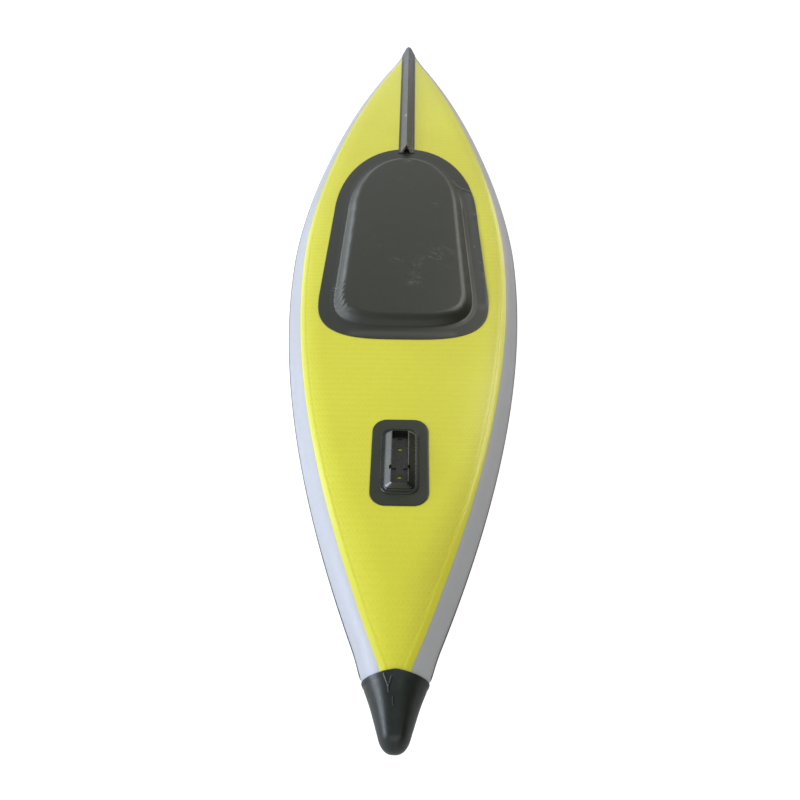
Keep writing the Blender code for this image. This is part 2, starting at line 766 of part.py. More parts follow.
def swept_ring(name, section_points):
    """A closed ring of the cockpit's outline with one section all the way round."""
    rings = []
    outlines = [well_outline(grow) for grow, _ in section_points]
    for i in range(WELL_POINTS):
        rings.append(np.array([(*outline[i], z) for outline, (_, z) in zip(outlines, section_points)]))
    return tube_mesh(name, rings, True)


def build_coaming():
    """The moulded rim on the deck, with a base, an upstand and a lip for a spray skirt."""
    base = -THICKNESS - GAP
    rim = -THICKNESS - COAMING_HEIGHT
    inner = -HOLE_INSET - GAP - LINING_WALL
    wall = inner + COAMING_WALL
    under = rim + LIP_THICKNESS
    soft = LIP_THICKNESS / 4
    points = [
        (inner, base),
        (COAMING_BASE, base),
        (COAMING_BASE, base - PATCH_WALL),
        (wall + 0.004, base - PATCH_WALL - 0.001),
        (wall, base - PATCH_WALL - 0.005),
        (wall, under + 0.003),
        (wall + 0.003, under),
        (COAMING_LIP - soft, under),
        (COAMING_LIP, under - soft),
        (COAMING_LIP, rim + soft),
        (COAMING_LIP - soft, rim),
        (inner + soft, rim),
        (inner, rim + soft),
    ]
    return add("cockpit_coaming", swept_ring("cockpit_coaming", points), BLACK, 0.5)


# Fin box


def build_fin_box():
    """The moulded fin box on its patch: skirt, bevelled body, channel, groove and holes."""
    outline = rounded_rectangle(FIN_PATCH_WIDTH, FIN_PATCH_LENGTH, FIN_PATCH_CORNER, 6)
    trim = rounded_rectangle(FIN_PATCH_WIDTH - 0.0016, FIN_PATCH_LENGTH - 0.0016, FIN_PATCH_CORNER, 6)
    face = GAP + PATCH_WALL
    sheet = stacked("fin_box_patch", [(outline, GAP), (outline, face - 0.0006), (trim, face)])
    patch = add("fin_box_patch", sheet, BLACK, 0.45, at=(0.0, FIN_CENTRE_Y, 0.0))
    seat = face + GAP
    soft = 0.003
    corner = FIN_CHANNEL_CORNER + FIN_RIM
    skirt = rounded_rectangle(FIN_SKIRT_WIDTH, FIN_SKIRT_LENGTH, FIN_SKIRT_CORNER)
    skirt_top = rounded_rectangle(FIN_SKIRT_WIDTH - soft, FIN_SKIRT_LENGTH - soft, FIN_SKIRT_CORNER)
    foot = rounded_rectangle(FIN_BODY_WIDTH, FIN_BODY_LENGTH, FIN_BODY_CORNER)
    bevel = rounded_rectangle(FIN_BODY_WIDTH - soft, FIN_BODY_LENGTH - soft, FIN_BODY_CORNER)
    rim = rounded_rectangle(FIN_CHANNEL_WIDTH + 2 * FIN_RIM, FIN_CHANNEL_LENGTH + 2 * FIN_RIM, corner)
    rim_top = rounded_rectangle(FIN_CHANNEL_WIDTH + FIN_RIM, FIN_CHANNEL_LENGTH + FIN_RIM, corner)
    layers = [
        (skirt, 0.0),
        (skirt, FIN_SKIRT_HEIGHT * 0.6),
        (skirt_top, FIN_SKIRT_HEIGHT),
        (foot, FIN_SKIRT_HEIGHT),
        (bevel, FIN_SKIRT_HEIGHT + soft),
        (rim, FIN_HEIGHT - 0.001),
        (rim_top, FIN_HEIGHT),
    ]
    body = add("fin_box_body", stacked("fin_box_body", layers), BLACK, 0.3, at=(0.0, FIN_CENTRE_Y, seat))
    above = FIN_HEIGHT + 0.01
    channel = rounded_rectangle(FIN_CHANNEL_WIDTH, FIN_CHANNEL_LENGTH, FIN_CHANNEL_CORNER)
    groove = rounded_rectangle(FIN_GROOVE_WIDTH, FIN_GROOVE_LENGTH, FIN_GROOVE_WIDTH * 0.4)
    place = (0.0, FIN_CENTRE_Y, seat)
    deep = stacked("fin_channel", [(channel, FIN_FLOOR), (channel, above)])
    narrow = stacked("fin_groove", [(groove, FIN_FLOOR - FIN_GROOVE_DEPTH), (groove, FIN_FLOOR + 0.001)])
    cutters = [guide("fin_channel_cutter", deep, place), guide("fin_groove_cutter", narrow, place)]
    for name, side in (("left", -1), ("right", 1)):
        near, far = sorted((side * FIN_NOTCH_INNER, side * FIN_NOTCH_REACH))
        start = FIN_NOTCH_Y - FIN_NOTCH_LENGTH / 2
        notch = box("notch", (near, start, FIN_NOTCH_FLOOR), (far, start + FIN_NOTCH_LENGTH, above))
        cutters.append(guide(f"fin_{name}_notch_cutter", notch, place))
    for cutter in cutters:
        combine(body, cutter, "DIFFERENCE")
    for name, offset in (("front", FIN_HOLE_FRONT), ("rear", FIN_HOLE_REAR)):
        hole = ellipse(FIN_HOLE_WIDTH, FIN_HOLE_LENGTH)
        spot = (0.0, FIN_CENTRE_Y + offset, 0.0)
        cutter = guide(f"fin_{name}_hole_cutter", stacked("fin_hole", [(hole, -0.001), (hole, above)]), spot)
        combine(body, cutter, "DIFFERENCE")
        combine(patch, cutter, "DIFFERENCE")


# Seat and foot rest

FLOOR_Z = BULGE_HEIGHT - TUB_WALL - GAP
SEAT_REAR = WELL_NEAR + SEAT_SETBACK
SEAT_FACE_Z = FLOOR_Z - SEAT_THICKNESS


def build_seat():
    """The seat cushion on the floor of the well and the backrest folded down on it."""
    base = cushion("seat_cushion", SEAT_WIDTH, SEAT_LENGTH, SEAT_THICKNESS, 0.14, 4, 1)
    add("seat_cushion", base, CHARCOAL, 0.9, at=(0.0, SEAT_REAR + SEAT_LENGTH / 2, FLOOR_Z))
    back = cushion("seat_backrest", SEAT_WIDTH, BACK_LENGTH, BACK_THICKNESS, 0.14, 4, 1)
    back.transform(Matrix.Translation((0.0, BACK_LENGTH / 2, -SEAT_PLAY)))
    add("seat_backrest", back, CHARCOAL, 0.9, at=(0.0, SEAT_REAR, SEAT_FACE_Z))


def build_foot_rest():
    """The inflated foot roll and the two hook strips that it slides along."""
    for name, side in (("left", -1), ("right", 1)):
        near = (-FOOT_STRIP_WIDTH / 2, -FOOT_STRIP_LENGTH / 2, -FOOT_STRIP_WALL)
        far = (FOOT_STRIP_WIDTH / 2, FOOT_STRIP_LENGTH / 2, 0.0)
        place = (side * FOOT_STRIP_X, WELL_FAR - FOOT_STRIP_SETBACK, FLOOR_Z)
        add(f"{name}_foot_rest_strip", box("strip", near, far), CHARCOAL, 0.9, at=place)
    radius, half = FOOT_REST_RADIUS, FOOT_REST_WIDTH / 2
    profile = [(0.0, -half)]
    for i in range(1, 6):
        angle = math.pi / 2 * i / 5
        profile.append((radius * math.sin(angle), -half + radius * 0.35 * (1 - math.cos(angle))))
    profile += [(radius * 0.97, 0.0)]
    profile += [(r, -z) for r, z in reversed(profile[:-1])]
    roll = turned_solid("foot_rest", profile, 24)
    roll.transform(Matrix.Rotation(math.pi / 2, 4, "Y"))
    height = FLOOR_Z - FOOT_STRIP_WALL - GAP - radius
    add("foot_rest", roll, CHARCOAL, 0.85, at=(0.0, WELL_FAR - FOOT_REST_SETBACK, height))


# Air valve; its heights run from the deck, and into the hull is up

DECK_Z = -THICKNESS
SPIDER_Z = VALVE_DEPTH - VALVE_WEB - 0.004
HEAD_Z = SPIDER_Z - VALVE_SPRING_LENGTH - 2 * VALVE_CLEARANCE


def build_valve():
    """Body, inner nut, sprung plunger with its seal, and the turning cap with its ring."""
    place = (0.0, WELL_NEAR - VALVE_SETBACK, DECK_Z)
    face = -GAP - VALVE_FLANGE
    ledge = VALVE_DEPTH - 0.002
    body_profile = [
        (VALVE_BORE_RADIUS, face),
        (VALVE_FLANGE_RADIUS - 0.0015, face),
        (VALVE_FLANGE_RADIUS, face + 0.0015),
        (VALVE_FLANGE_RADIUS, -GAP),
        (VALVE_BARREL_RADIUS, -GAP),
        (VALVE_BARREL_RADIUS, VALVE_DEPTH),
        (VALVE_SEAT_RADIUS, VALVE_DEPTH),
        (VALVE_SEAT_RADIUS, ledge - 0.001),
        (VALVE_BORE_RADIUS, SPIDER_Z),
    ]
    shell = guide("valve_shell", turned("valve_shell", body_profile), place)
    hub_profile = [
        (VALVE_STEM_RADIUS + VALVE_STEM_CLEARANCE, SPIDER_Z),
        (VALVE_GUIDE_RADIUS, SPIDER_Z),
        (VALVE_GUIDE_RADIUS, SPIDER_Z + VALVE_WEB),
        (VALVE_STEM_RADIUS + VALVE_STEM_CLEARANCE, SPIDER_Z + VALVE_WEB),
    ]
    helpers = [guide("valve_hub", turned("valve_hub", hub_profile, 16), place)]
    for i in range(3):
        reach = VALVE_BORE_RADIUS + 0.001
        arm = box("arm", (VALVE_GUIDE_RADIUS - 0.001, -0.0015, SPIDER_Z + 0.0002),
                  (reach, 0.0015, SPIDER_Z + VALVE_WEB - 0.0002))
        arm.transform(Matrix.Rotation(2 * math.pi * i / 3 + 0.3, 4, "Z"))
        helpers.append(guide(f"valve_arm_{i + 1}", arm, place))
    for helper in helpers:
        combine(shell, helper, "UNION")
    add("valve_body", baked("valve_body", shell, helpers), CHARCOAL, 0.4, at=(0.0, 0.0, 0.0))
    bpy.data.objects["valve_body"].location = place

    nut_z = PANEL_WALL + GAP
    thread = VALVE_BARREL_RADIUS + GAP
    nut = [(thread, nut_z), (VALVE_NUT_RADIUS, nut_z), (VALVE_NUT_RADIUS, nut_z + 0.003),
           (VALVE_NUT_RADIUS - 0.003, nut_z + VALVE_NUT), (thread, nut_z + VALVE_NUT)]
    add("valve_nut", turned("valve_nut", nut), CHARCOAL, 0.4, at=place)

    disc_z = VALVE_DEPTH + GAP + VALVE_SEAL + GAP
    stem = VALVE_STEM_RADIUS
    plunger = [
        (0.0, HEAD_Z - VALVE_HEAD),
        (VALVE_HEAD_RADIUS - 0.001, HEAD_Z - VALVE_HEAD),
        (VALVE_HEAD_RADIUS, HEAD_Z - VALVE_HEAD + 0.001),
        (VALVE_HEAD_RADIUS, HEAD_Z),
        (stem, HEAD_Z),
        (stem, disc_z),
        (VALVE_DISC_RADIUS, disc_z),
        (VALVE_DISC_RADIUS, disc_z + VALVE_DISC),
        (0.0, disc_z + VALVE_DISC),
    ]
    add("valve_plunger", turned_solid("valve_plunger", plunger, 20), (0.75, 0.75, 0.75), 0.4, at=place)
    seal = [(stem + GAP, disc_z - GAP - VALVE_SEAL), (VALVE_DISC_RADIUS, disc_z - GAP - VALVE_SEAL),
            (VALVE_DISC_RADIUS, disc_z - GAP), (stem + GAP, disc_z - GAP)]
    add("valve_seal", turned("valve_seal", seal, 20), (0.35, 0.05, 0.04), 0.6, at=place)
    build_valve_spring(place)
    build_valve_cap(place, face)


def build_valve_spring(place):
    """The coil spring between the spider and the plunger's head."""
    wire = bpy.data.curves.new("valve_spring", "CURVE")
    wire.dimensions = "3D"
    wire.bevel_depth = VALVE_WIRE_RADIUS
    wire.bevel_resolution = 1
    wire.use_fill_caps = True
    line = wire.splines.new("POLY")
    per_turn = 9
    count = VALVE_SPRING_TURNS * per_turn + 1
    line.points.add(count - 1)
    low = HEAD_Z + VALVE_CLEARANCE + VALVE_WIRE_RADIUS
    high = SPIDER_Z - VALVE_CLEARANCE - VALVE_WIRE_RADIUS
    for i in range(count):
        angle = 2 * math.pi * i / per_turn
        z = low + (high - low) * i / (count - 1)
        x, y = VALVE_SPRING_RADIUS * math.cos(angle), VALVE_SPRING_RADIUS * math.sin(angle)
        line.points[i].co = (x, y, z, 1.0)
    add("valve_spring", wire, STEEL, 0.3, 1.0, at=place)


def build_valve_cap(place, face):
    """The bayonet cap: a knurled disc with a thumb bar and a skirt inside the bore."""
    under = face - GAP - CAP_RING_WALL - GAP
    skirt = VALVE_BORE_RADIUS - VALVE_CLEARANCE
    profile = [
        (0.0, under - CAP_TOP),
        (CAP_RADIUS - 0.002, under - CAP_TOP),
        (CAP_RADIUS, under - CAP_TOP + 0.0015),
        (CAP_RADIUS, under),
        (skirt, under),
        (skirt, under + CAP_SKIRT_DEPTH),
        (skirt - CAP_SKIRT_WALL, under + CAP_SKIRT_DEPTH),
        (skirt - CAP_SKIRT_WALL, under),
        (0.0, under),
    ]
    cap = guide("cap_disc", turned_solid("cap_disc", profile), place)
    half = CAP_RADIUS - 0.006
    top = under - CAP_TOP
    low = (-half, -CAP_GRIP_WIDTH / 2, top - CAP_GRIP_HEIGHT)
    bar = box("bar", low, (half, CAP_GRIP_WIDTH / 2, top + 0.001))
    helper = guide("cap_bar", bar, place)
    combine(cap, helper, "UNION")
    add("valve_cap", baked("valve_cap", cap, [helper]), CHARCOAL, 0.4, at=place)
    ring = [(skirt + GAP, face - GAP - CAP_RING_WALL), (CAP_RADIUS - 0.002, face - GAP - CAP_RING_WALL),
            (CAP_RADIUS - 0.002, face - GAP), (skirt + GAP, face - GAP)]
    add("valve_cap_ring", turned("valve_cap_ring", ring, 24), BLACK, 0.7, at=place)


# D-rings

RING_AXIS = PATCH_WALL + GAP + D_RING_ROD + D_RING_PLAY


def d_ring_curve():
    """A D of round rod that hangs from its straight bar."""
    rod = bpy.data.curves.new("d_ring", "CURVE")
    rod.dimensions = "3D"
    rod.bevel_depth = D_RING_ROD
    rod.bevel_resolution = 1
    line = rod.splines.new("POLY")
    path = [(-D_RING_HALF * 0.6, 0.0), (D_RING_HALF * 0.6, 0.0)]
    corner = D_RING_HALF * 0.14
    path += [(D_RING_HALF - corner, -corner * 0.3), (D_RING_HALF, -corner * 1.4)]
    for i in range(11):
        angle = math.pi * i / 10
        path.append((D_RING_HALF * math.cos(angle), -D_RING_LEG - D_RING_HALF * math.sin(angle)))
    path += [(-D_RING_HALF, -corner * 1.4), (-D_RING_HALF + corner, -corner * 0.3)]
    line.points.add(len(path) - 1)
    for point, (x, z) in zip(line.points, path):
        point.co = (x, 0.0, z, 1.0)
    line.use_cyclic_u = True
    return rod


def d_ring_patch():
    """A round patch with a loop of webbing across its middle, which holds the bar."""
    outline = [(D_RING_PATCH_RADIUS * math.cos(a), D_RING_PATCH_RADIUS * math.sin(a))
               for a in (2 * math.pi * i / 28 for i in range(28))]
    disc = guide("patch_disc", stacked("patch_disc", [(outline, -GAP - PATCH_WALL), (outline, -GAP)]))
    inner = D_RING_ROD + D_RING_PLAY
    outer = inner + WEB_WALL
    root = -GAP - PATCH_WALL / 2
    arcs = [math.pi * i / 8 for i in range(9)]
    bend = -GAP - RING_AXIS + GAP
    profile = [(outer * math.cos(a), bend - outer * math.sin(a)) for a in arcs]
    profile = [(outer, root)] + profile + [(-outer, root), (-inner, root)]
    profile += [(-inner * math.cos(a), bend - inner * math.sin(a)) for a in arcs] + [(inner, root)]
    rings = [np.array([(x, y, z) for y, z in profile]) for x in (-WEB_HALF, WEB_HALF)]
    loop = guide("patch_loop", tube_mesh("patch_loop", rings, False))
    combine(disc, loop, "UNION")
    return baked("d_ring_patch", disc, [loop])


def build_d_rings():
    """Four rings behind the cockpit and two ahead of it, on the deck."""
    patch = d_ring_patch()
    ring = d_ring_curve()
    spots = {
        "rear_left": (-REAR_RING_X, WELL_NEAR - REAR_RING_SETBACK),
        "rear_right": (REAR_RING_X, WELL_NEAR - REAR_RING_SETBACK),
        "stern_left": (-STERN_RING_X, STERN_RING_Y),
        "stern_right": (STERN_RING_X, STERN_RING_Y),
        "front_left": (-FRONT_RING_X, WELL_FAR + FRONT_RING_AHEAD),
        "front_right": (FRONT_RING_X, WELL_FAR + FRONT_RING_AHEAD),
    }
    for name, (x, y) in spots.items():
        deck = DECK_Z - rocker(y)
        add(f"{name}_d_ring_patch", patch, CHARCOAL, 0.6, at=(x, y, deck))
        add(f"{name}_d_ring", ring, STEEL, 0.25, 1.0, at=(x, y, deck - RING_AXIS))


# Carry handles

HANDLE_AXIS = PATCH_WALL + GAP + LUG_REACH / 2 + 0.001


def deck_slope(y):
    """The faceted deck's height at y and its slope along the hull."""
    behind = facet_section(y - ANCHOR_LENGTH / 2, [3.0])[0][0]
    ahead = facet_section(y + ANCHOR_LENGTH / 2, [3.0])[0][0]
    return float((ahead[2] + behind[2]) / 2), math.atan2(ahead[2] - behind[2], ANCHOR_LENGTH)


def build_handle(prefix, y):
    """An anchor plate with two lugs, a bail that swings in them and a soft grip."""
    deck, slope = deck_slope(y)
    place = np.array((0.0, y, deck))
    off = np.array((0.0, math.sin(slope), -math.cos(slope)))
    axis = tuple(place + HANDLE_AXIS * off)
    rod = bpy.data.curves.new(f"{prefix}_handle_bail", "CURVE")
    rod.dimensions = "3D"
    rod.bevel_depth = HANDLE_ROD
    rod.bevel_resolution = 1
    rod.use_fill_caps = True
    quarter = [math.pi / 2 * i / 3 for i in range(4)]
    shoulder, bend = HANDLE_SHOULDER, HANDLE_CORNER
    path = [(HANDLE_HALF + HANDLE_PIN, 0.0)]
    path += [(HANDLE_HALF + shoulder * (1 - math.sin(a)), shoulder * (math.cos(a) - 1)) for a in quarter]
    for a in quarter:
        path.append((HANDLE_HALF - bend * (1 - math.cos(a)), bend * (1 - math.sin(a)) - HANDLE_DROP))
    path += [(-x, z) for x, z in reversed(path)]
    line = rod.splines.new("POLY")
    line.points.add(len(path) - 1)
    for point, (x, z) in zip(line.points, path):
        point.co = (x, 0.0, z, 1.0)
    add(f"{prefix}_handle_bail", rod, CHARCOAL, 0.5, at=axis)

    bore = HANDLE_ROD + HANDLE_PLAY
    profile = [(bore, -GRIP_HALF), (GRIP_RADIUS * 0.86, -GRIP_HALF), (GRIP_RADIUS, -GRIP_HALF * 0.9),
               (GRIP_RADIUS, GRIP_HALF * 0.9), (GRIP_RADIUS * 0.86, GRIP_HALF), (bore, GRIP_HALF)]
    grip = turned(f"{prefix}_handle_grip", profile, 16)
    grip.transform(Matrix.Translation((0.0, 0.0, -HANDLE_DROP)) @ Matrix.Rotation(math.pi / 2, 4, "Y"))
    add(f"{prefix}_handle_grip", grip, BLACK, 0.8, at=axis)

    width = 2 * (HANDLE_HALF + HANDLE_PIN + ANCHOR_MARGIN)
    plate = rounded_rectangle(width, ANCHOR_LENGTH, ANCHOR_LENGTH * 0.45)
    anchor = add(f"{prefix}_handle_anchor", stacked("anchor", [(plate, -GAP - PATCH_WALL), (plate, -GAP)]),
                 CHARCOAL, 0.6, at=tuple(place), tilt=slope)
    for name, side in (("left", -1), ("right", 1)):
        middle = side * (HANDLE_HALF + HANDLE_PIN - LUG_WIDTH / 2)
        low = (middle - LUG_WIDTH / 2, -LUG_LENGTH / 2, -HANDLE_AXIS - LUG_REACH / 2)
        high = (middle + LUG_WIDTH / 2, LUG_LENGTH / 2, -GAP - PATCH_WALL / 2)
        lug = guide(f"{prefix}_{name}_lug", box("lug", low, high), tuple(place))
        lug.rotation_euler = (slope, 0.0, 0.0)
        combine(anchor, lug, "UNION")
        hole = turned_solid("hole", [(0.0, -0.02), (bore, -0.02), (bore, 0.02), (0.0, 0.02)], 12)
        hole.transform(Matrix.Rotation(math.pi / 2, 4, "Y"))
        cutter = guide(f"{prefix}_{name}_pin_hole", hole, (middle, axis[1], axis[2]))
        combine(anchor, cutter, "DIFFERENCE")


OPENING = [(x, y) for x, y in well_outline(-HOLE_INSET)]
WELL_SHAPE = stacked("cockpit_cutter", [(OPENING, -THICKNESS - 0.05), (OPENING, 0.05)])
WELL_CUTTER = guide("cockpit_cutter", WELL_SHAPE)
VALVE_SPOT = (0.0, WELL_NEAR - VALVE_SETBACK, DECK_Z)
POCKET = ellipse(2 * VALVE_POCKET_RADIUS, 2 * VALVE_POCKET_RADIUS, 24)
POCKET_SHAPE = stacked("valve_pocket", [(POCKET, -0.01), (POCKET, VALVE_POCKET_DEPTH)])
VALVE_POCKET = guide("valve_pocket", POCKET_SHAPE, VALVE_SPOT)
BARREL = ellipse(2 * (VALVE_BARREL_RADIUS + GAP), 2 * (VALVE_BARREL_RADIUS + GAP), 32)
BARREL_SHAPE = stacked("valve_hole", [(BARREL, -0.01), (BARREL, 0.01)])
VALVE_HOLE = guide("valve_hole", BARREL_SHAPE, VALVE_SPOT)

build_core()
build_panels()
build_tapes()
build_end_cap("stern_cap", 0.0, STERN_CAP_LENGTH, STERN_CAP_SWEEP, 1, 0.0)
build_end_cap("bow_cap", HULL_LENGTH, BOW_CAP_LENGTH, BOW_CAP_SWEEP, -1, RIDGE_NOSE_HEIGHT)
build_keel_strip()
build_tub()
build_lining()
build_coaming()
build_fin_box()
build_seat()
build_foot_rest()
build_valve()
build_d_rings()
build_handle("bow", HULL_LENGTH - BOW_HANDLE_SETBACK)
build_handle("stern", STERN_HANDLE_Y)
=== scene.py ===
"""The looks of an inflatable drop-stitch kayak that lies bottom up on its cockpit coaming.

Metres, +Z up.  The hull frame has its zero at the stern tip on the bottom panel; ROW moves
it into the model's frame.  Every piece is built where the solid model has it.
"""

import sys
import logging
import math
from collections.abc import Callable, Sequence
from dataclasses import dataclass, field
from enum import Enum

import bmesh
import bpy
import numpy as np
from mathutils import Matrix, Vector, noise


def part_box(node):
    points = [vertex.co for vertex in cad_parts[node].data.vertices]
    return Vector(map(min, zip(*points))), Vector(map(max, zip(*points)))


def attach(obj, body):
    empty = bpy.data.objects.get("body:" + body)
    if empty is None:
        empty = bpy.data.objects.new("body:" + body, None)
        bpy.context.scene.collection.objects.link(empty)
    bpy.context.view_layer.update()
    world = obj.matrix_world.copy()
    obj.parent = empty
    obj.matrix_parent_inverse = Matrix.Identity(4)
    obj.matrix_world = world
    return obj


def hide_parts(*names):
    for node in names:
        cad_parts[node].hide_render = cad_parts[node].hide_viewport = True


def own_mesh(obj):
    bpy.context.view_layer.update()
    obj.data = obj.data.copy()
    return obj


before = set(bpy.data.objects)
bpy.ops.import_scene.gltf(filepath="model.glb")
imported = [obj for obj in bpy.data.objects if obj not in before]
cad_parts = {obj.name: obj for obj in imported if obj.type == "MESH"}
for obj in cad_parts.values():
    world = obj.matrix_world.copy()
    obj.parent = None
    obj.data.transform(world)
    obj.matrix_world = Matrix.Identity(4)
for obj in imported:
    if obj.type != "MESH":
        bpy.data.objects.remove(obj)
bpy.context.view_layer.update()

ROW = np.array((0.0, -1.8, 0.220))
GAP = 0.0003
PATCH_WALL = 0.0020
PANEL_WALL = 0.0025
TAU = 2.0 * math.pi
THIN = 1e-6
ALONG = np.array((0.0, 1.0, 0.0))
UP = np.array((0.0, 0.0, 1.0))
VECTOR = "NodeSocketVector"
NUMBER = "NodeSocketFloat"

Colour = tuple[float, float, float]
Spot = tuple[float, float]
Size = tuple[float, float, float]
Face = tuple[int, ...]
Array = np.ndarray
Mesh = bpy.types.Mesh
Piece = bpy.types.Object
Material = bpy.types.Material
Tree = bpy.types.NodeTree
Node = bpy.types.Node
Socket = bpy.types.NodeSocket
Sockets = bpy.types.NodeOutputs
Value = Socket | float | tuple

log = logging.getLogger("kayak")


class Side(Enum):
    """The two sides of the hull, as the sign of x."""

    LEFT = -1
    RIGHT = 1

    @property
    def word(self) -> str:
        """The side's name in a piece's name."""
        return self.name.lower()


class End(Enum):
    """The two ends of the hull, as the way from the tip into the hull along y."""

    STERN = 1
    BOW = -1


class Work(Enum):
    """What carve() does with a tool."""

    CUT = "DIFFERENCE"
    JOIN = "UNION"


Tool = tuple[Work, Mesh]


def srgb(red: int, green: int, blue: int) -> Colour:
    """Turns the eight-bit values of a colour card into a linear colour."""
    shares = [value / 255.0 for value in (red, green, blue)]
    return tuple(s / 12.92 if s <= 0.04045 else ((s + 0.055) / 1.055) ** 2.4 for s in shares)


# Node wiring


class Wiring:
    """Lays nodes in one tree and joins them."""

    def __init__(self, tree: Tree) -> None:
        """Starts on a tree."""
        self.tree = tree

    def node(self, kind: str, **settings: object) -> Node:
        """Adds a node.

        Args:
            kind: what follows ShaderNode in the node's type name.
            **settings: properties to set on it.

        Returns:
            The node.
        """
        made = self.tree.nodes.new(f"ShaderNode{kind}")
        for key, value in settings.items():
            setattr(made, key, value)
        return made

    def join(self, value: Value, socket: Socket) -> None:
        """Links a socket to another, or sets its value.

        Args:
            value: an output socket, a number, a vector or a colour.
            socket: the input socket.
        """
        if isinstance(value, Socket):
            self.tree.links.new(value, socket)
        elif socket.type == "RGBA" and len(value) == 3:
            socket.default_value = (*value, 1.0)
        else:
            socket.default_value = value

    def feed(self, node: Node, **values: Value) -> Sockets:
        """Feeds a node's inputs by name.

        Args:
            node: the node.
            **values: what goes into its inputs, with an underscore for a space.

        Returns:
            The node's outputs.
        """
        for key, value in values.items():
            self.join(value, node.inputs[key.replace("_", " ")])
        return node.outputs

    def made(self, kind: str, *values: Value, **settings: object) -> Socket:
        """Adds a node and feeds its inputs in their order.

        Args:
            kind: what follows ShaderNode in the node's type name.
            *values: what goes into the inputs that its settings leave in use.
            **settings: properties to set on it.

        Returns:
            Its first output in use.
        """
        node = self.node(kind, **settings)
        for value, socket in zip(values, [each for each in node.inputs if each.enabled]):
            self.join(value, socket)
        return next(each for each in node.outputs if each.enabled)

    def math(self, operation: str, *values: Value, clamp: bool = False) -> Socket:
        """A number made by a Math node, held between 0 and 1 if clamp is set."""
        return self.made("Math", *values, operation=operation, use_clamp=clamp)

    def plus(self, first: Value, second: Value) -> Socket:
        """The sum of two numbers."""
        return self.math("ADD", first, second)

    def minus(self, first: Value, second: Value) -> Socket:
        """The first number less the second."""
        return self.math("SUBTRACT", first, second)

    def times(self, first: Value, second: Value) -> Socket:
        """The product of two numbers."""
        return self.math("MULTIPLY", first, second)

    def over(self, first: Value, second: Value) -> Socket:
        """The first number divided by the second."""
        return self.math("DIVIDE", first, second)

    def most(self, first: Value, second: Value) -> Socket:
        """The larger of two numbers."""
        return self.math("MAXIMUM", first, second)

    def linear(self, value: Value, slope: Value, start: Value, clamp: bool = False) -> Socket:
        """A number times a slope, added to a start."""
        return self.math("MULTIPLY_ADD", value, slope, start, clamp=clamp)

    def vector(self, operation: str, *values: Value) -> Socket:
        """What a Vector Math node makes: a vector, or a number for a product or a length."""
        return self.made("VectorMath", *values, operation=operation)

    def split(self, vector: Value) -> tuple[Socket, Socket, Socket]:
        """The x, y and z of a vector."""
        return tuple(self.made("SeparateXYZ", vector).node.outputs)

    def combine(self, x: Value, y: Value, z: Value) -> Socket:
        """A vector from three numbers."""
        return self.made("CombineXYZ", x, y, z)

    def mapped(self, value: Value, low: Value, high: Value, first: Value = 0.0, last: Value = 1.0) -> Socket:
        """A number moved smoothly from the range low to high to the range first to last."""
        return self.made("MapRange", value, low, high, first, last, interpolation_type="SMOOTHSTEP")

    def noise(self, vector: Value, scale: Value, detail: float = 2.0, rough: float = 0.5) -> Socket:
        """Noise about 0.5 at a place, with a scale in waves to the metre, octaves and their strength."""
        return self.made("TexNoise", vector, scale, detail, rough)

    def blend(self, share: Value, first: Value, second: Value) -> Socket:
        """A colour between two: the first for a share of 0, the second for 1."""
        return self.made("Mix", share, first, second, data_type="RGBA")


# Effects that the finishes share


Gives = dict[str, Socket]
Laying = Callable[[Wiring, Sockets], Gives]


def effect(name: str, **takes: str | float) -> Callable[[Laying], Tree]:
    """Makes a shader node group of the function that lays its nodes.

    Args:
        name: the group's name.
        **takes: its inputs, each VECTOR or a number that is its usual value.

    Returns:
        The decorator, which puts the group in the function's place.
    """

    def build(lay: Laying) -> Tree:
        """Builds the group: its inputs, its nodes, then its outputs.

        Args:
            lay: lays the nodes and returns what goes out.

        Returns:
            The group.
        """
        tree = bpy.data.node_groups.new(name, "ShaderNodeTree")
        for label, usual in takes.items():
            kind = VECTOR if usual == VECTOR else NUMBER
            socket = tree.interface.new_socket(label, in_out="INPUT", socket_type=kind)
            if kind == NUMBER:
                socket.default_value = usual
        net = Wiring(tree)
        gives = lay(net, tree.nodes.new("NodeGroupInput").outputs)
        for label in gives:
            tree.interface.new_socket(label, in_out="OUTPUT", socket_type=NUMBER)
        net.feed(tree.nodes.new("NodeGroupOutput"), **gives)
        return tree

    return build


@effect("face coordinates", Vector=VECTOR, Normal=VECTOR)
def face_coordinates(net: Wiring, given: Sockets) -> Gives:
    """Flat coordinates for the way a surface faces, so that a weave isn't drawn out.

    Args:
        net: the group's wiring.
        given: its inputs.

    Returns:
        How far across and along, in metres.
    """
    x, y, z = net.split(given["Vector"])
    nx, ny, nz = (net.math("ABSOLUTE", part) for part in net.split(given["Normal"]))
    upright = net.minus(1.0, net.math("GREATER_THAN", nz, net.most(nx, ny)))
    sideways = net.times(upright, net.math("GREATER_THAN", nx, ny))
    return {"Across": net.linear(net.minus(y, x), sideways, x),
            "Along": net.linear(net.minus(z, y), upright, y)}


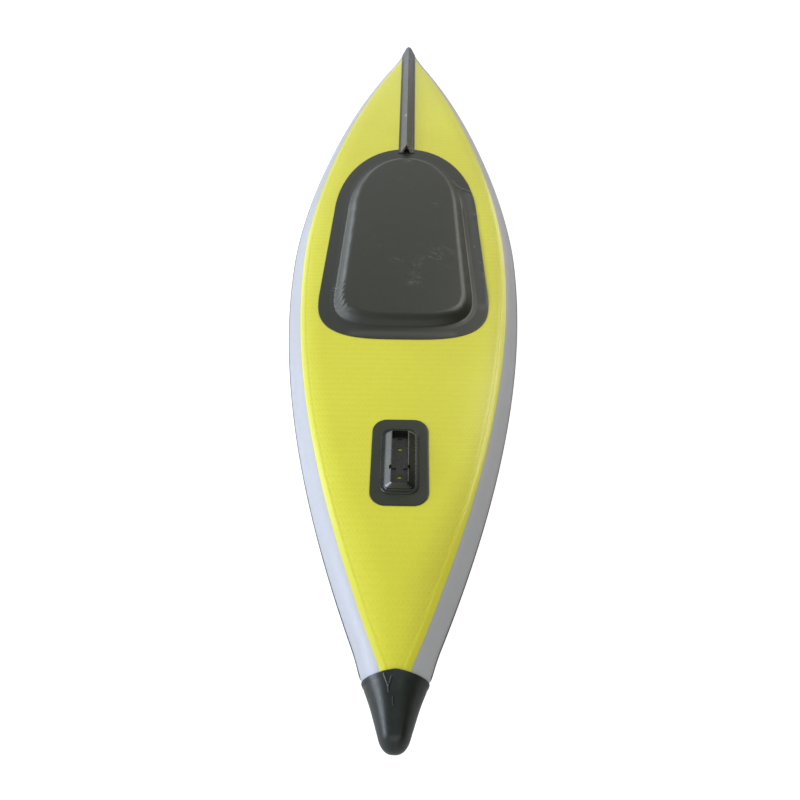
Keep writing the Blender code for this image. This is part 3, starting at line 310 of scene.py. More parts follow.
@effect("stitch dimples", Across=0.0, Along=0.0, Pitch=0.0128, Row=0.0110, Uneven=0.5)
def stitch_dimples(net: Wiring, given: Sockets) -> Gives:
    """Rows of small dimples where the threads of the chamber pull the sheet in.

    Args:
        net: the group's wiring.
        given: its inputs.

    Returns:
        The dimples' depth, and the ribs between their rows as a mask of painted shade, 0 to 1.
    """
    row = net.over(given["Along"], given["Row"])
    odd = net.times(net.math("FRACT", net.times(net.math("FLOOR", row), 0.5)), 2.0)
    column = net.linear(odd, 0.5, net.over(given["Across"], given["Pitch"]))
    u, v = (net.minus(net.math("FRACT", part), 0.5) for part in (column, row))
    pit = net.mapped(net.plus(net.times(u, u), net.times(v, v)), 0.0, 0.20, 1.0, 0.0)
    weaker = net.minus(1.0, net.times(odd, given["Uneven"]))
    turn = net.math("COSINE", net.times(row, math.pi))
    return {"Pit": net.times(pit, weaker), "RibShade": net.linear(turn, 0.5, 0.5)}


@effect("plain weave", Across=0.0, Along=0.0, Pitch=0.001)
def plain_weave(net: Wiring, given: Sockets) -> Gives:
    """Plain weave: threads that pass over and under each other.

    Args:
        net: the group's wiring.
        given: its inputs.

    Returns:
        The threads' height, and 1 where the warp is on top.
    """
    u, v = (net.over(given[way], given["Pitch"]) for way in ("Across", "Along"))
    parity = net.plus(net.math("FLOOR", u), net.math("FLOOR", v))
    warp = net.times(net.math("FRACT", net.times(parity, 0.5)), 2.0)
    hump_u, hump_v = (net.math("SINE", net.times(net.math("FRACT", part), math.pi)) for part in (u, v))
    across = net.times(hump_u, net.math("POWER", hump_v, 0.4))
    along = net.times(hump_v, net.math("POWER", hump_u, 0.4))
    return {"Height": net.linear(net.minus(across, along), warp, along), "Warp": warp}


@effect("mottle", Vector=VECTOR, Broad=3.0, Fine=40.0)
def mottle(net: Wiring, given: Sockets) -> Gives:
    """Broad uneven patches and a finer cloudiness.

    Args:
        net: the group's wiring.
        given: its inputs.

    Returns:
        The patches and the cloudiness, 0 to 1.
    """
    broad = net.noise(given["Vector"], given["Broad"], 2.0, 0.5)
    fine = net.noise(given["Vector"], given["Fine"], 3.0, 0.55)
    return {"Broad": net.mapped(broad, 0.30, 0.70), "Fine": net.mapped(fine, 0.25, 0.75)}


@effect("scuffs", Vector=VECTOR, Scale=14.0, Stretch=5.0, Amount=0.3, Lean=0.4)
def scuffs(net: Wiring, given: Sockets) -> Gives:
    """Thin pale rub marks that lie in one direction.

    Args:
        net: the group's wiring.
        given: its inputs.

    Returns:
        The marks, 0 to 1.
    """
    x, y, z = net.split(given["Vector"])
    drawn = net.times(net.linear(x, given["Lean"], y), given["Stretch"])
    thin = net.noise(net.combine(x, drawn, z), given["Scale"], 4.0, 0.62)
    line = net.mapped(net.math("ABSOLUTE", net.minus(thin, 0.5)), 0.0, 0.018, 1.0, 0.0)
    where = net.noise(given["Vector"], net.times(given["Scale"], 0.45), 2.0, 0.6)
    limit = net.minus(0.78, net.times(given["Amount"], 0.36))
    return {"Mark": net.times(line, net.mapped(where, limit, net.plus(limit, 0.10)))}


@effect("dust", Vector=VECTOR, Scale=500.0, Amount=0.3)
def dust(net: Wiring, given: Sockets) -> Gives:
    """Grit and dust: small specks in loose drifts.

    Args:
        net: the group's wiring.
        given: its inputs.

    Returns:
        The specks, 0 to 1.
    """
    specks = net.noise(given["Vector"], given["Scale"], 1.0, 0.5)
    drift = net.noise(given["Vector"], net.times(given["Scale"], 0.02), 3.0, 0.6)
    limit = net.minus(0.86, net.times(given["Amount"], 0.28))
    speck = net.mapped(specks, limit, net.plus(limit, 0.05))
    return {"Speck": net.times(speck, net.mapped(drift, 0.40, 0.62))}


@effect("moulded grain", Vector=VECTOR, Scale=900.0)
def moulded_grain(net: Wiring, given: Sockets) -> Gives:
    """The fine pebble of a moulding that came from a spark-eroded tool.

    Args:
        net: the group's wiring.
        given: its inputs.

    Returns:
        The grain's height.
    """
    cells = net.made("TexVoronoi", given["Vector"], given["Scale"], feature="SMOOTH_F1")
    soft = net.noise(given["Vector"], net.times(given["Scale"], 0.4), 2.0, 0.5)
    return {"Height": net.linear(soft, 0.6, cells)}


@effect("edge wear", Vector=VECTOR, Amount=0.5, Start=0.52)
def edge_wear(net: Wiring, given: Sockets) -> Gives:
    """Rubbed edges, broken up so that the rub isn't an even line.

    Args:
        net: the group's wiring.
        given: its inputs.

    Returns:
        The rub, 0 to 1.
    """
    bend = net.node("NewGeometry").outputs["Pointiness"]
    edge = net.mapped(bend, given["Start"], net.plus(given["Start"], 0.06))
    broken = net.mapped(net.noise(given["Vector"], 70.0, 4.0, 0.6), 0.35, 0.65)
    return {"Rub": net.times(net.times(edge, broken), given["Amount"])}


@effect("crease", Vector=VECTOR, Start=VECTOR, End=VECTOR, Width=0.004)
def crease_line(net: Wiring, given: Sockets) -> Gives:
    """A soft line between two points, seen from above: a fold, a pucker, a nick or a band of painted
    highlight.

    Args:
        net: the group's wiring.
        given: its inputs.

    Returns:
        The line, 1 along its middle.
    """
    start, end, here = (net.vector("MULTIPLY", given[label], (1.0, 1.0, 0.0))
                        for label in ("Start", "End", "Vector"))
    line, away = net.vector("SUBTRACT", end, start), net.vector("SUBTRACT", here, start)
    run = net.vector("DOT_PRODUCT", line, line)
    along = net.math("DIVIDE", net.vector("DOT_PRODUCT", away, line), run, clamp=True)
    nearest = net.vector("MULTIPLY", line, net.combine(along, along, along))
    gap = net.vector("LENGTH", net.vector("SUBTRACT", away, nearest))
    return {"Mark": net.mapped(gap, 0.0, given["Width"], 1.0, 0.0)}


@effect("shoulder", Inside=0.0, Run=0.074, Bend=0.0286, Radius=0.075, Slope=0.412, Power=1.4)
def shoulder_bend(net: Wiring, given: Sockets) -> Gives:
    """The sheet's bend towards its seam, fuller than the flat it is drawn over.

    Args:
        net: the group's wiring.
        given: its inputs.

    Returns:
        How far the bend lies under the flat, in metres.
    """
    share = net.math("SUBTRACT", 1.0, net.over(given["Inside"], given["Run"]), clamp=True)
    power = net.plus(given["Power"], 1.0)
    full = net.times(net.math("POWER", share, power), given["Slope"])
    full = net.over(net.times(full, given["Run"]), power)
    past = net.most(net.minus(given["Bend"], given["Inside"]), 0.0)
    square = net.minus(net.times(given["Radius"], given["Radius"]), net.times(past, past))
    drop = net.minus(given["Radius"], net.math("SQRT", square))
    return {"Height": net.minus(drop, full)}


# Finishes


@dataclass(frozen=True)
class Mark:
    """A fold, pucker or nick between two points of the hull frame, seen from above, or a band of painted
    highlight.
    """

    start: Spot
    end: Spot
    width: float
    height: float = 0.0
    # How pale the line is drawn: a nick's own colour, or a painted highlight.
    pale: float = 0.0


class Surface:
    """A material under way: its shader, its wiring and the piece's own coordinates."""

    def __init__(self, name: str) -> None:
        """Starts a material.

        Args:
            name: the material's name.
        """
        self.material = bpy.data.materials.new(name)
        self.material.use_nodes = True
        self.net = Wiring(self.material.node_tree)
        self.shader = self.material.node_tree.nodes["Principled BSDF"]
        coordinates = self.net.node("TexCoord").outputs
        self.place, self.normal = coordinates["Object"], coordinates["Normal"]
        self.relief: Socket | None = None

    def set(self, **values: Value) -> None:
        """Sets inputs of the shader by name, with an underscore for a space."""
        self.net.feed(self.shader, **values)

    def use(self, group: Tree, **values: Value) -> Sockets:
        """Places an effect, on the piece's own coordinates if it takes any.

        Args:
            group: the effect.
            **values: its inputs by name; the rest keep their usual values.

        Returns:
            What the effect gives.
        """
        made = self.net.node("Group", node_tree=group)
        if "Vector" in made.inputs:
            values["Vector"] = self.place
        return self.net.feed(made, **values)

    def face(self) -> tuple[Socket, Socket]:
        """Flat coordinates on the surface, across and along, in metres."""
        flat = self.use(face_coordinates, Normal=self.normal)
        return flat["Across"], flat["Along"]

    def raise_by(self, height: Value, distance: float, strength: float = 1.0) -> None:
        """Adds relief over what is there.

        Args:
            height: the relief, 0 to 1.
            distance: its depth in metres.
            strength: how much of it shows.
        """
        bump = self.net.node("Bump")
        if self.relief is not None:
            self.net.feed(bump, Normal=self.relief)
        outputs = self.net.feed(bump, Height=height, Distance=distance, Strength=strength)
        self.relief = outputs["Normal"]
        self.set(Normal=self.relief)

    def draw(self, lines: Sequence[Mark], pale: Socket) -> Socket:
        """Raises or presses lines in the surface and adds their paleness, which on some lines is a painted
        highlight.

        Args:
            lines: the lines.
            pale: the pale marks so far, 0 to 1.

        Returns:
            The pale marks with those of the lines.
        """
        for line in lines:
            start, end = ((x + ROW[0], y + ROW[1], 0.0) for x, y in (line.start, line.end))
            mark = self.use(crease_line, Start=start, End=end, Width=line.width)["Mark"]
            if line.height != 0.0:
                self.raise_by(mark, line.height)
            if line.pale > 0.0:
                pale = self.net.most(pale, self.net.times(mark, line.pale))
        return pale


@dataclass(frozen=True)
class Finish:
    """What every finish has: a name, a slot of the record and a way to make its material."""

    name: str
    slot: str

    def material(self) -> Material:
        """The finish's material.

        Returns:
            The material, made the first time it is asked for.
        """
        if self.name not in bpy.data.materials:
            self.make(Surface(self.name))
        return bpy.data.materials[self.name]

    def make(self, surface: Surface) -> None:
        """Lays the finish's nodes in a material under way."""
        raise NotImplementedError


@dataclass(frozen=True)
class CoatedSheet(Finish):
    """Reinforced sheet with a smooth coat; over the threads it shows their dimples, with painted shade in
    them and along their rows.
    """

    colour: Colour
    shade: Colour
    # The colour of scuffs and dust, also used for the painted highlights of drawn lines.
    scuff_and_highlight: Colour
    roughness: float = 0.42
    dimples: float = 0.0
    scuffed: float = 0.25
    coat: float = 0.25
    coat_rough: float = 0.30
    weave: float = 0.00002
    specular: float = 0.5
    rubbed: tuple[float, float, float, float] = (0.0, 0.0, 0.0, 0.0)
    full: bool = False
    marks: tuple[Mark, ...] = ()

    def make(self, surface: Surface) -> None:
        """Lays the nodes of the coated sheet.

        Args:
            surface: the material under way.
        """
        net = surface.net
        across, along = surface.face()
        patches = surface.use(mottle, Broad=2.2, Fine=55.0)
        colour = net.blend(net.times(patches["Broad"], 0.35), self.colour, self.shade)
        colour = net.blend(net.times(patches["Fine"], 0.16), colour, self.shade)
        if self.dimples > 0.0:
            flat = net.math("ABSOLUTE", net.split(surface.normal)[2])
            level = net.mapped(flat, 0.965, 0.997)
            stitch = surface.use(stitch_dimples, Across=across, Along=along)
            pit, rib_shade = (net.times(stitch[label], level) for label in ("Pit", "RibShade"))
            # Painted shade: the dimples and the ribs between their rows are darkened towards the shade
            # colour; the dimples are also pressed in by the bump below.
            colour = net.blend(net.times(pit, 0.14), colour, self.shade)
            colour = net.blend(net.times(rib_shade, 0.15), colour, self.shade)
            surface.raise_by(net.minus(1.0, pit), self.dimples)
        rubs = surface.use(scuffs, Amount=self.scuffed)["Mark"]
        specks = surface.use(dust, Amount=self.scuffed)["Speck"]
        marks = net.most(net.times(rubs, 0.55), net.times(specks, 0.35))
        if self.full:
            written = net.node("Attribute", attribute_name="shoulder").outputs["Vector"]
            inside, run, bend = net.split(written)
            full = surface.use(shoulder_bend, Inside=inside, Run=run, Bend=bend)["Height"]
            surface.raise_by(full, 1.0)
        if self.rubbed[2] > 0.0:
            marks = net.most(marks, self.rub(surface))
        marks = surface.draw(self.marks, marks)
        rough = net.linear(patches["Fine"], 0.10, self.roughness - 0.05)
        threads = surface.use(plain_weave, Across=across, Along=along, Pitch=0.0011)["Height"]
        surface.raise_by(threads, self.weave)
        surface.raise_by(patches["Fine"], 0.00012, 0.5)
        surface.set(Base_Color=net.blend(marks, colour, self.scuff_and_highlight),
                    Roughness=net.linear(marks, 0.25, rough, clamp=True), Coat_Weight=self.coat,
                    Coat_Roughness=self.coat_rough, Specular_IOR_Level=self.specular)

    def rub(self, surface: Surface) -> Socket:
        """Short rub marks on the spot that touches the ground.

        Args:
            surface: the material under way.

        Returns:
            The marks' share.
        """
        net = surface.net
        x, y, _ = net.split(surface.place)
        across, along, half_across, half_along = self.rubbed
        u = net.over(net.minus(x, across), half_across)
        v = net.over(net.minus(y, along), half_along)
        spot = net.mapped(net.plus(net.times(u, u), net.times(v, v)), 0.3, 1.2, 1.0, 0.0)
        rubs = surface.use(scuffs, Scale=9.0, Stretch=2.4, Amount=0.95, Lean=0.5)["Mark"]
        return net.times(net.times(rubs, spot), 0.32)


@dataclass(frozen=True)
class Moulding(Finish):
    """Rubber or plastic out of a mould: fine pebble, rubbed edges, a little dust."""

    colour: Colour
    worn: Colour
    roughness: float = 0.40
    grain: float = 0.00003
    grain_scale: float = 1100.0
    wear: float = 0.5
    coat: float = 0.0
    specular: float = 0.5
    dusty: float = 0.3
    marks: tuple[Mark, ...] = ()

    def make(self, surface: Surface) -> None:
        """Lays the nodes of the moulding.

        Args:
            surface: the material under way.
        """
        net = surface.net
        patches = surface.use(mottle, Broad=9.0, Fine=120.0)
        light = net.blend(0.18, self.colour, self.worn)
        colour = net.blend(net.times(patches["Broad"], 0.5), self.colour, light)
        rub = surface.use(edge_wear, Amount=self.wear)["Rub"]
        rubs = surface.use(scuffs, Scale=30.0, Amount=self.dusty)["Mark"]
        specks = surface.use(dust, Scale=700.0, Amount=self.dusty)["Speck"]
        marks = net.most(net.times(rubs, 0.35), net.times(specks, 0.3))
        marks = surface.draw(self.marks, net.most(marks, rub))
        rough = net.linear(patches["Fine"], 0.12, self.roughness - 0.06)
        surface.raise_by(surface.use(moulded_grain, Scale=self.grain_scale)["Height"], self.grain, 0.7)
        surface.set(Base_Color=net.blend(marks, colour, self.worn),
                    Roughness=net.linear(marks, 0.22, rough, clamp=True), Coat_Weight=self.coat,
                    Coat_Roughness=0.22, Specular_IOR_Level=self.specular)


@dataclass(frozen=True)
class WovenCover(Finish):
    """Woven cloth: threads over and under, painted shade in the hollows between them, uneven dye and a soft
    sheen.
    """

    colour: Colour
    thread: Colour
    pitch: float = 0.0012
    depth: float = 0.00020
    sheen: float = 0.35
    roughness: float = 0.85

    def make(self, surface: Surface) -> None:
        """Lays the nodes of the cloth.

        Args:
            surface: the material under way.
        """
        net = surface.net
        across, along = surface.face()
        cloth = surface.use(plain_weave, Across=across, Along=along, Pitch=self.pitch)
        patches = surface.use(mottle, Broad=7.0, Fine=260.0)
        tone = net.linear(cloth["Warp"], 0.35, net.times(patches["Fine"], 0.45))
        colour = net.blend(tone, self.colour, self.thread)
        # Painted shade: where the threads lie low, the colour is darkened towards a third of itself.
        low = net.mapped(cloth["Height"], 0.0, 0.6, 0.45, 0.0)
        colour = net.blend(low, colour, tuple(part * 0.35 for part in self.colour))
        colour = net.blend(net.times(patches["Broad"], 0.18), colour, self.thread)
        rough = net.linear(patches["Fine"], 0.10, self.roughness - 0.05)
        surface.raise_by(cloth["Height"], self.depth)
        surface.set(Base_Color=colour, Roughness=rough, Sheen_Weight=self.sheen, Sheen_Roughness=0.4)


@dataclass(frozen=True)
class DrawnSteel(Finish):
    """Drawn stainless rod: fine lines, a few dull patches."""

    colour: Colour
    roughness: float = 0.22

    def make(self, surface: Surface) -> None:
        """Lays the nodes of the steel.

        Args:
            surface: the material under way.
        """
        net = surface.net
        patches = surface.use(mottle, Broad=60.0, Fine=900.0)
        dull = tuple(part * 0.72 for part in self.colour)
        colour = net.blend(net.times(patches["Broad"], 0.4), self.colour, dull)
        rough = net.linear(patches["Fine"], 0.16, self.roughness - 0.06)
        surface.raise_by(patches["Fine"], 0.00002, 0.6)
        surface.set(Base_Color=colour, Roughness=rough, Metallic=1.0)


YELLOW = CoatedSheet(
    "yellow sheet", "yellow_pvc", srgb(208, 207, 54), srgb(191, 185, 37), srgb(228, 224, 136),
    roughness=0.46, dimples=0.00040, scuffed=0.08, coat=0.90, coat_rough=0.20, specular=0.3, full=True)
GREY = CoatedSheet(
    "grey sheet", "grey_pvc", srgb(172, 174, 181), srgb(156, 158, 165), srgb(196, 196, 200),
    roughness=0.46, scuffed=0.20, coat=0.10)
DECK_GREY = CoatedSheet(
    "grey deck sheet", "grey_pvc", srgb(176, 178, 186), srgb(158, 160, 168), srgb(196, 196, 200),
    roughness=0.50, dimples=0.00045, scuffed=0.20, coat=0.10)
BLACK = CoatedSheet(
    "black sheet", "black_pvc", srgb(33, 36, 26), srgb(28, 30, 22), srgb(140, 140, 136),
    roughness=0.36, scuffed=0.40, coat=0.25, rubbed=(0.01, -0.145, 0.20, 0.10),
    # Raised folds at the well's far right corner; their pale share is a painted highlight along the crests.
    marks=(Mark((0.193, 2.193), (0.217, 2.157), 0.008, 0.0016, 0.10),
           Mark((0.217, 2.157), (0.241, 2.135), 0.007, 0.0020, 0.24),
           Mark((0.241, 2.135), (0.285, 2.107), 0.006, 0.0020, 0.16),
           # A pale band across the near flange.
           Mark((-0.170, 1.280), (0.170, 1.280), 0.022, 0.0, 0.09),
           # Painted highlight: a broad pale band along the right flange, just outside the bulge's foot.
           Mark((0.255, 2.100), (0.270, 1.900), 0.030, 0.0, 0.10),
           Mark((0.270, 1.900), (0.276, 1.420), 0.032, 0.0, 0.11),
           Mark((0.2655, 1.760), (0.2660, 1.752), 0.0045, 0.0, 0.45),
           Mark((0.2800, 1.662), (0.2840, 1.656), 0.0045, 0.0, 0.38)))
STRIP = CoatedSheet(
    "black strip", "black_pvc", srgb(31, 33, 33), srgb(26, 27, 28), srgb(190, 192, 190),
    roughness=0.34, scuffed=0.25, coat=0.60,
    marks=(Mark((-0.006, 2.704), (-0.006, 2.710), 0.006, 0.0, 0.8),))
LINING = CoatedSheet(
    "black lining", "black_pvc", srgb(42, 43, 42), srgb(34, 35, 34), srgb(100, 100, 96),
    roughness=0.55, scuffed=0.2, coat=0.0)
TIE_PATCH = CoatedSheet(
    "grey patch", "grey_pvc", srgb(120, 122, 128), srgb(104, 106, 112), srgb(160, 160, 160),
    roughness=0.50, scuffed=0.2, coat=0.1)
TAPE = CoatedSheet(
    "black tape", "black_pvc", srgb(44, 46, 45), srgb(34, 36, 36), srgb(110, 110, 108),
    roughness=0.48, scuffed=0.25, coat=0.1)
PATCH = CoatedSheet(
    "black patch", "black_pvc", srgb(32, 39, 21), srgb(26, 32, 17), srgb(104, 106, 98),
    roughness=0.42, scuffed=0.15, coat=0.1)
RUBBER = Moulding(
    "black rubber", "black_rubber", srgb(12, 21, 15), srgb(104, 110, 112),
    roughness=0.36, specular=0.45, wear=0.15,
    marks=(Mark((-0.0262, 0.1560), (-0.0150, 0.1290), 0.0040, 0.0012),
           Mark((-0.0080, 0.1500), (-0.0150, 0.1290), 0.0040, 0.0012),
           Mark((-0.0150, 0.1290), (-0.0145, 0.1180), 0.0036, 0.0010),
           Mark((-0.0040, 0.1060), (-0.0035, 0.0920), 0.0038, 0.0010)))
BOX_PLASTIC = Moulding(
    "fin box plastic", "black_plastic", srgb(9, 15, 6), srgb(120, 124, 120),
    roughness=0.24, grain=0.000012, coat=0.60, wear=0.10, dusty=0.12)
RIM_PLASTIC = Moulding(
    "coaming plastic", "black_plastic", srgb(42, 43, 42), srgb(116, 118, 116), roughness=0.42, wear=0.3)
CHARCOAL_PLASTIC = Moulding(
    "charcoal plastic", "charcoal_plastic", srgb(62, 63, 66), srgb(136, 138, 142), wear=0.3)
ANCHOR_PLASTIC = Moulding(
    "anchor plastic", "charcoal_plastic", srgb(56, 57, 59), srgb(128, 130, 134), roughness=0.45, wear=0.3)
GRIP_RUBBER = Moulding(
    "grip rubber", "black_rubber", srgb(44, 45, 46), srgb(110, 112, 114), roughness=0.62, wear=0.2)
RING_RUBBER = Moulding(
    "cap ring rubber", "black_rubber", srgb(40, 41, 42), srgb(100, 102, 104), roughness=0.60)
PALE_PLASTIC = Moulding(
    "pale plastic", "pale_plastic", srgb(206, 206, 202), srgb(150, 150, 146), roughness=0.38, wear=0.2)
SEAL = Moulding(
    "red seal rubber", "seal_rubber", srgb(158, 62, 52), srgb(190, 120, 110), roughness=0.6)
SEAT_CLOTH = WovenCover("seat cover", "seat_fabric", srgb(58, 60, 64), srgb(84, 86, 92), pitch=0.0013)
ROLL_CLOTH = WovenCover(
    "foot rest cover", "foot_rest_fabric", srgb(64, 66, 70), srgb(92, 94, 100), pitch=0.0010)
WEBBING = WovenCover(
    "grey webbing", "patch_webbing", srgb(74, 76, 80), srgb(108, 110, 114),
    pitch=0.0016, depth=0.00035, sheen=0.2)
THREAD = WovenCover(
    "sewing thread", "patch_webbing", srgb(150, 152, 156), srgb(190, 192, 196), pitch=0.0005, depth=0.00008)
HOOK = WovenCover("hook tape", "hook_tape", srgb(48, 49, 52), srgb(80, 82, 86), pitch=0.0022, depth=0.0006)
CORE = WovenCover("stitched core", "stitched_core", srgb(208, 208, 202), srgb(188, 188, 182), pitch=0.004)
RING_STEEL = DrawnSteel("ring steel", "ring_steel", srgb(205, 205, 202), roughness=0.20)
SPRING_STEEL = DrawnSteel("spring steel", "spring_steel", srgb(190, 190, 188), roughness=0.30)


# Mesh making


def make_mesh(points: Array, faces: Sequence[Face]) -> Mesh:
    """A mesh with its faces turned outwards.

    Args:
        points: any array whose last side is x, y, z.
        faces: the faces as point numbers.

    Returns:
        The mesh.
    """
    mesh = bpy.data.meshes.new("mesh")
    mesh.from_pydata(np.asarray(points, float).reshape(-1, 3).tolist(), [], list(faces))
    work = bmesh.new()
    work.from_mesh(mesh)
    bmesh.ops.recalc_face_normals(work, faces=work.faces)
    work.to_mesh(mesh)
    work.free()
    return mesh


def places_of(mesh: Mesh) -> Array:
    """The places of a mesh's points."""
    return np.array([point.co[:] for point in mesh.vertices])


def move_points(mesh: Mesh, places: Array) -> None:
    """Moves a mesh's points to new places."""
    for point, place in zip(mesh.vertices, places):
        point.co = place


def quads(rows: int, columns: int, start: int = 0, wrap: bool = False) -> list[Face]:
    """Quads over a grid of points.

    Args:
        rows: how many rows.
        columns: how many points in a row.
        start: the first point's number.
        wrap: whether each row closes on itself.

    Returns:
        The faces.
    """
    found = []
    for i in range(rows - 1):
        for j in range(columns if wrap else columns - 1):
            a, b = start + i * columns + j, start + i * columns + (j + 1) % columns
            found.append((a, b, b + columns, a + columns))
    return found


def sheet(outer: Array, inner: Array) -> Mesh:
    """A closed sheet between two grids of the same size.

    Args:
        outer: rows by columns by 3.
        inner: the same, on the other face.

    Returns:
        The mesh.
    """
    rows, columns = outer.shape[:2]
    count = rows * columns
    faces = quads(rows, columns) + [tuple(reversed(f)) for f in quads(rows, columns, count)]
    border = list(range(columns)) + [i * columns + columns - 1 for i in range(1, rows)]
    border += [(rows - 1) * columns + j for j in range(columns - 2, -1, -1)]
    border += [i * columns for i in range(rows - 2, 0, -1)]
    faces += [(b, a, a + count, b + count) for a, b in zip(border, border[1:] + border[:1])]
    return make_mesh(np.concatenate([outer.reshape(-1, 3), inner.reshape(-1, 3)]), faces)


def loft(rings: Sequence[Array], joined: bool = False) -> Mesh:
    """A solid through closed rings of points.

    Args:
        rings: arrays of points, all as long.
        joined: whether the last ring joins the first; if not, both ends are capped.

    Returns:
        The mesh.
    """
    size, total = len(rings[0]), len(rings) * len(rings[0])
    faces = quads(len(rings) + joined, size, wrap=True)
    if joined:
        return make_mesh(np.concatenate(rings), [tuple(p % total for p in f) for f in faces])
    points = [np.concatenate(rings), np.mean(rings[0], axis=0)[None], np.mean(rings[-1], axis=0)[None]]
    for j in range(size):
        k = (j + 1) % size
        faces += [(total, k, j), (total + 1, total - size + j, total - size + k)]
    return make_mesh(np.concatenate(points), faces)


def circle(steps: int) -> Array:
    """Points on a circle of radius 1, as x and y."""
    turns = np.arange(steps) * TAU / steps
    return np.column_stack((np.cos(turns), np.sin(turns)))


def lathe(profile: Sequence[Spot], steps: int) -> Mesh:
    """A profile of radius and height, from and to the axis or closed, turned about z."""
    rings = [level(circle(steps) * max(r, THIN), z) for r, z in profile]
    return loft(rings, joined=profile[0][0] > THIN)


def round_corners(path: Sequence[Spot], radius: float, steps: int) -> list[Spot]:
    """A closed outline with its corners rounded.

    Args:
        path: the outline's corners.
        radius: how far from a corner the rounding starts, at most.
        steps: points in each corner.

    Returns:
        The rounded outline.
    """
    found = []
    count = len(path)
    for i in range(count):
        last, here, after = (np.array(path[(i + k) % count]) for k in (-1, 0, 1))
        before, ahead = last - here, after - here
        reach = min(radius, 0.45 * np.linalg.norm(before), 0.45 * np.linalg.norm(ahead))
        start = here + before / np.linalg.norm(before) * reach
        end = here + ahead / np.linalg.norm(ahead) * reach
        for t in np.arange(steps + 1) / steps:
            found.append(tuple((1 - t) ** 2 * start + 2 * t * (1 - t) * here + t * t * end))
    return found


def rounded_rectangle(width: float, length: float, corner: float, steps: int) -> Array:
    """The outline of a rectangle with round corners.

    Args:
        width: across x.
        length: along y.
        corner: the corners' radius.
        steps: points in each corner.

    Returns:
        Points as x and y.
    """
    points = []
    for turn, way in enumerate(((1, 1), (-1, 1), (-1, -1), (1, -1))):
        angles = math.pi / 2 * (turn + np.arange(steps + 1) / steps)
        middle = np.array(way) * (width / 2 - corner, length / 2 - corner)
        points.append(middle + corner * np.column_stack((np.cos(angles), np.sin(angles))))
    return np.concatenate(points)


def level(outline: Array, z: float, place: Sequence[float] = (0.0, 0.0, 0.0)) -> Array:
    """An outline of x and y laid at a height over a place."""
    return np.column_stack((outline, np.full(len(outline), z))) + np.asarray(place)


def unit(vectors: Array) -> Array:
    """Vectors brought to a length of 1."""
    return vectors / np.maximum(np.linalg.norm(vectors, axis=-1, keepdims=True), 1e-12)


def ways(path: Array, closed: bool) -> Array:
    """The directions along a path.

    Args:
        path: its points.
        closed: whether it closes.

    Returns:
        A unit vector at each point.
    """
    ahead = np.roll(path, -1, axis=0) - np.roll(path, 1, axis=0)
    if not closed:
        ahead[0], ahead[-1] = path[1] - path[0], path[-1] - path[-2]
    return unit(ahead)


def rod(path: Array, first: Array, second: Array, radius: float, steps: int,
        closed: bool = False) -> Mesh:
    """A round rod along a path.

    Args:
        path: points of the rod's middle.
        first: the way to the first point of each ring, one for all or one for each.
        second: the way to the point a quarter turn on, in the same form.
        radius: the rod's radius.
        steps: how many steps round.
        closed: whether the path closes.

    Returns:
        The mesh.
    """
    rings = []
    for point, a, b in zip(*np.broadcast_arrays(path, first, second)):
        rings.append(point + radius * circle(steps) @ np.array((a, b)))
    return loft(rings, joined=closed)


def upright_rod(path: Array, radius: float, steps: int, closed: bool = False) -> Mesh:
    """A round rod along a path in an upright plane across the hull."""
    return rod(path, ALONG, unit(np.cross(ways(path, closed), ALONG)), radius, steps, closed)


def smooth(value: Array, low: float, high: float) -> Array:
    """Rises smoothly from 0 below low to 1 above high."""
    share = np.clip((np.asarray(value, float) - low) / (high - low), 0.0, 1.0)
    return share * share * (3.0 - 2.0 * share)


def noise_at(points: Array, scale: float) -> Array:
    """Smooth noise between about -1 and 1 at points, with a scale in waves to the metre."""
    found = [noise.noise(Vector(p)) for p in np.asarray(points, float).reshape(-1, 3) * scale]
    return np.reshape(found, np.shape(points)[:-1])


def add_object(name: str, data: bpy.types.ID) -> Piece:
    """Puts a new object in the scene.

    Args:
        name: its name.
        data: its mesh, lamp or camera.

    Returns:
        The object.
    """
    made = bpy.data.objects.new(name, data)
    bpy.context.scene.collection.objects.link(made)
    return made


def put(name: str, mesh: Mesh, finish: Finish, body: str = "hull", node: str = "",
        crease: float = 40.0) -> Piece:
    """Puts a piece in the scene on its body.

    Args:
        name: the piece's name.
        mesh: its mesh, in the model's frame.
        finish: its finish.
        body: the body that carries it.
        node: the solid that it replaces, if any.
        crease: the angle in degrees above which an edge stays sharp.

    Returns:
        The piece.
    """
    piece = add_object(name, mesh)
    mesh.name = name
    mesh.materials.clear()
    mesh.materials.append(finish.material())
    mesh.shade_smooth()
    mesh.set_sharp_from_angle(angle=math.radians(crease))
    if mesh.get("softened"):
        piece.modifiers.new("even", "WEIGHTED_NORMAL").keep_sharp = True
        settle(piece)
    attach(piece, body)
    if node:
        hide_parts(node)
    log.info("%s: %d faces, %s", name, len(piece.data.polygons), finish.name)
    return piece


def dress(node: str, finish: Finish) -> None:
    """Gives a solid that stays in view its finish.

    Args:
        node: the solid's name.
        finish: its finish.
    """
    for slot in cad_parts[node].material_slots:
        slot.material = finish.material()
    log.info("%s keeps its solid, %s", node, finish.name)


def settle(piece: Piece) -> None:
    """Applies all the modifiers of a piece.

    Args:
        piece: the piece.
    """
    bpy.context.view_layer.update()
    graph = bpy.context.evaluated_depsgraph_get()
    made = bpy.data.meshes.new_from_object(piece.evaluated_get(graph))
    piece.modifiers.clear()
    piece.data = made


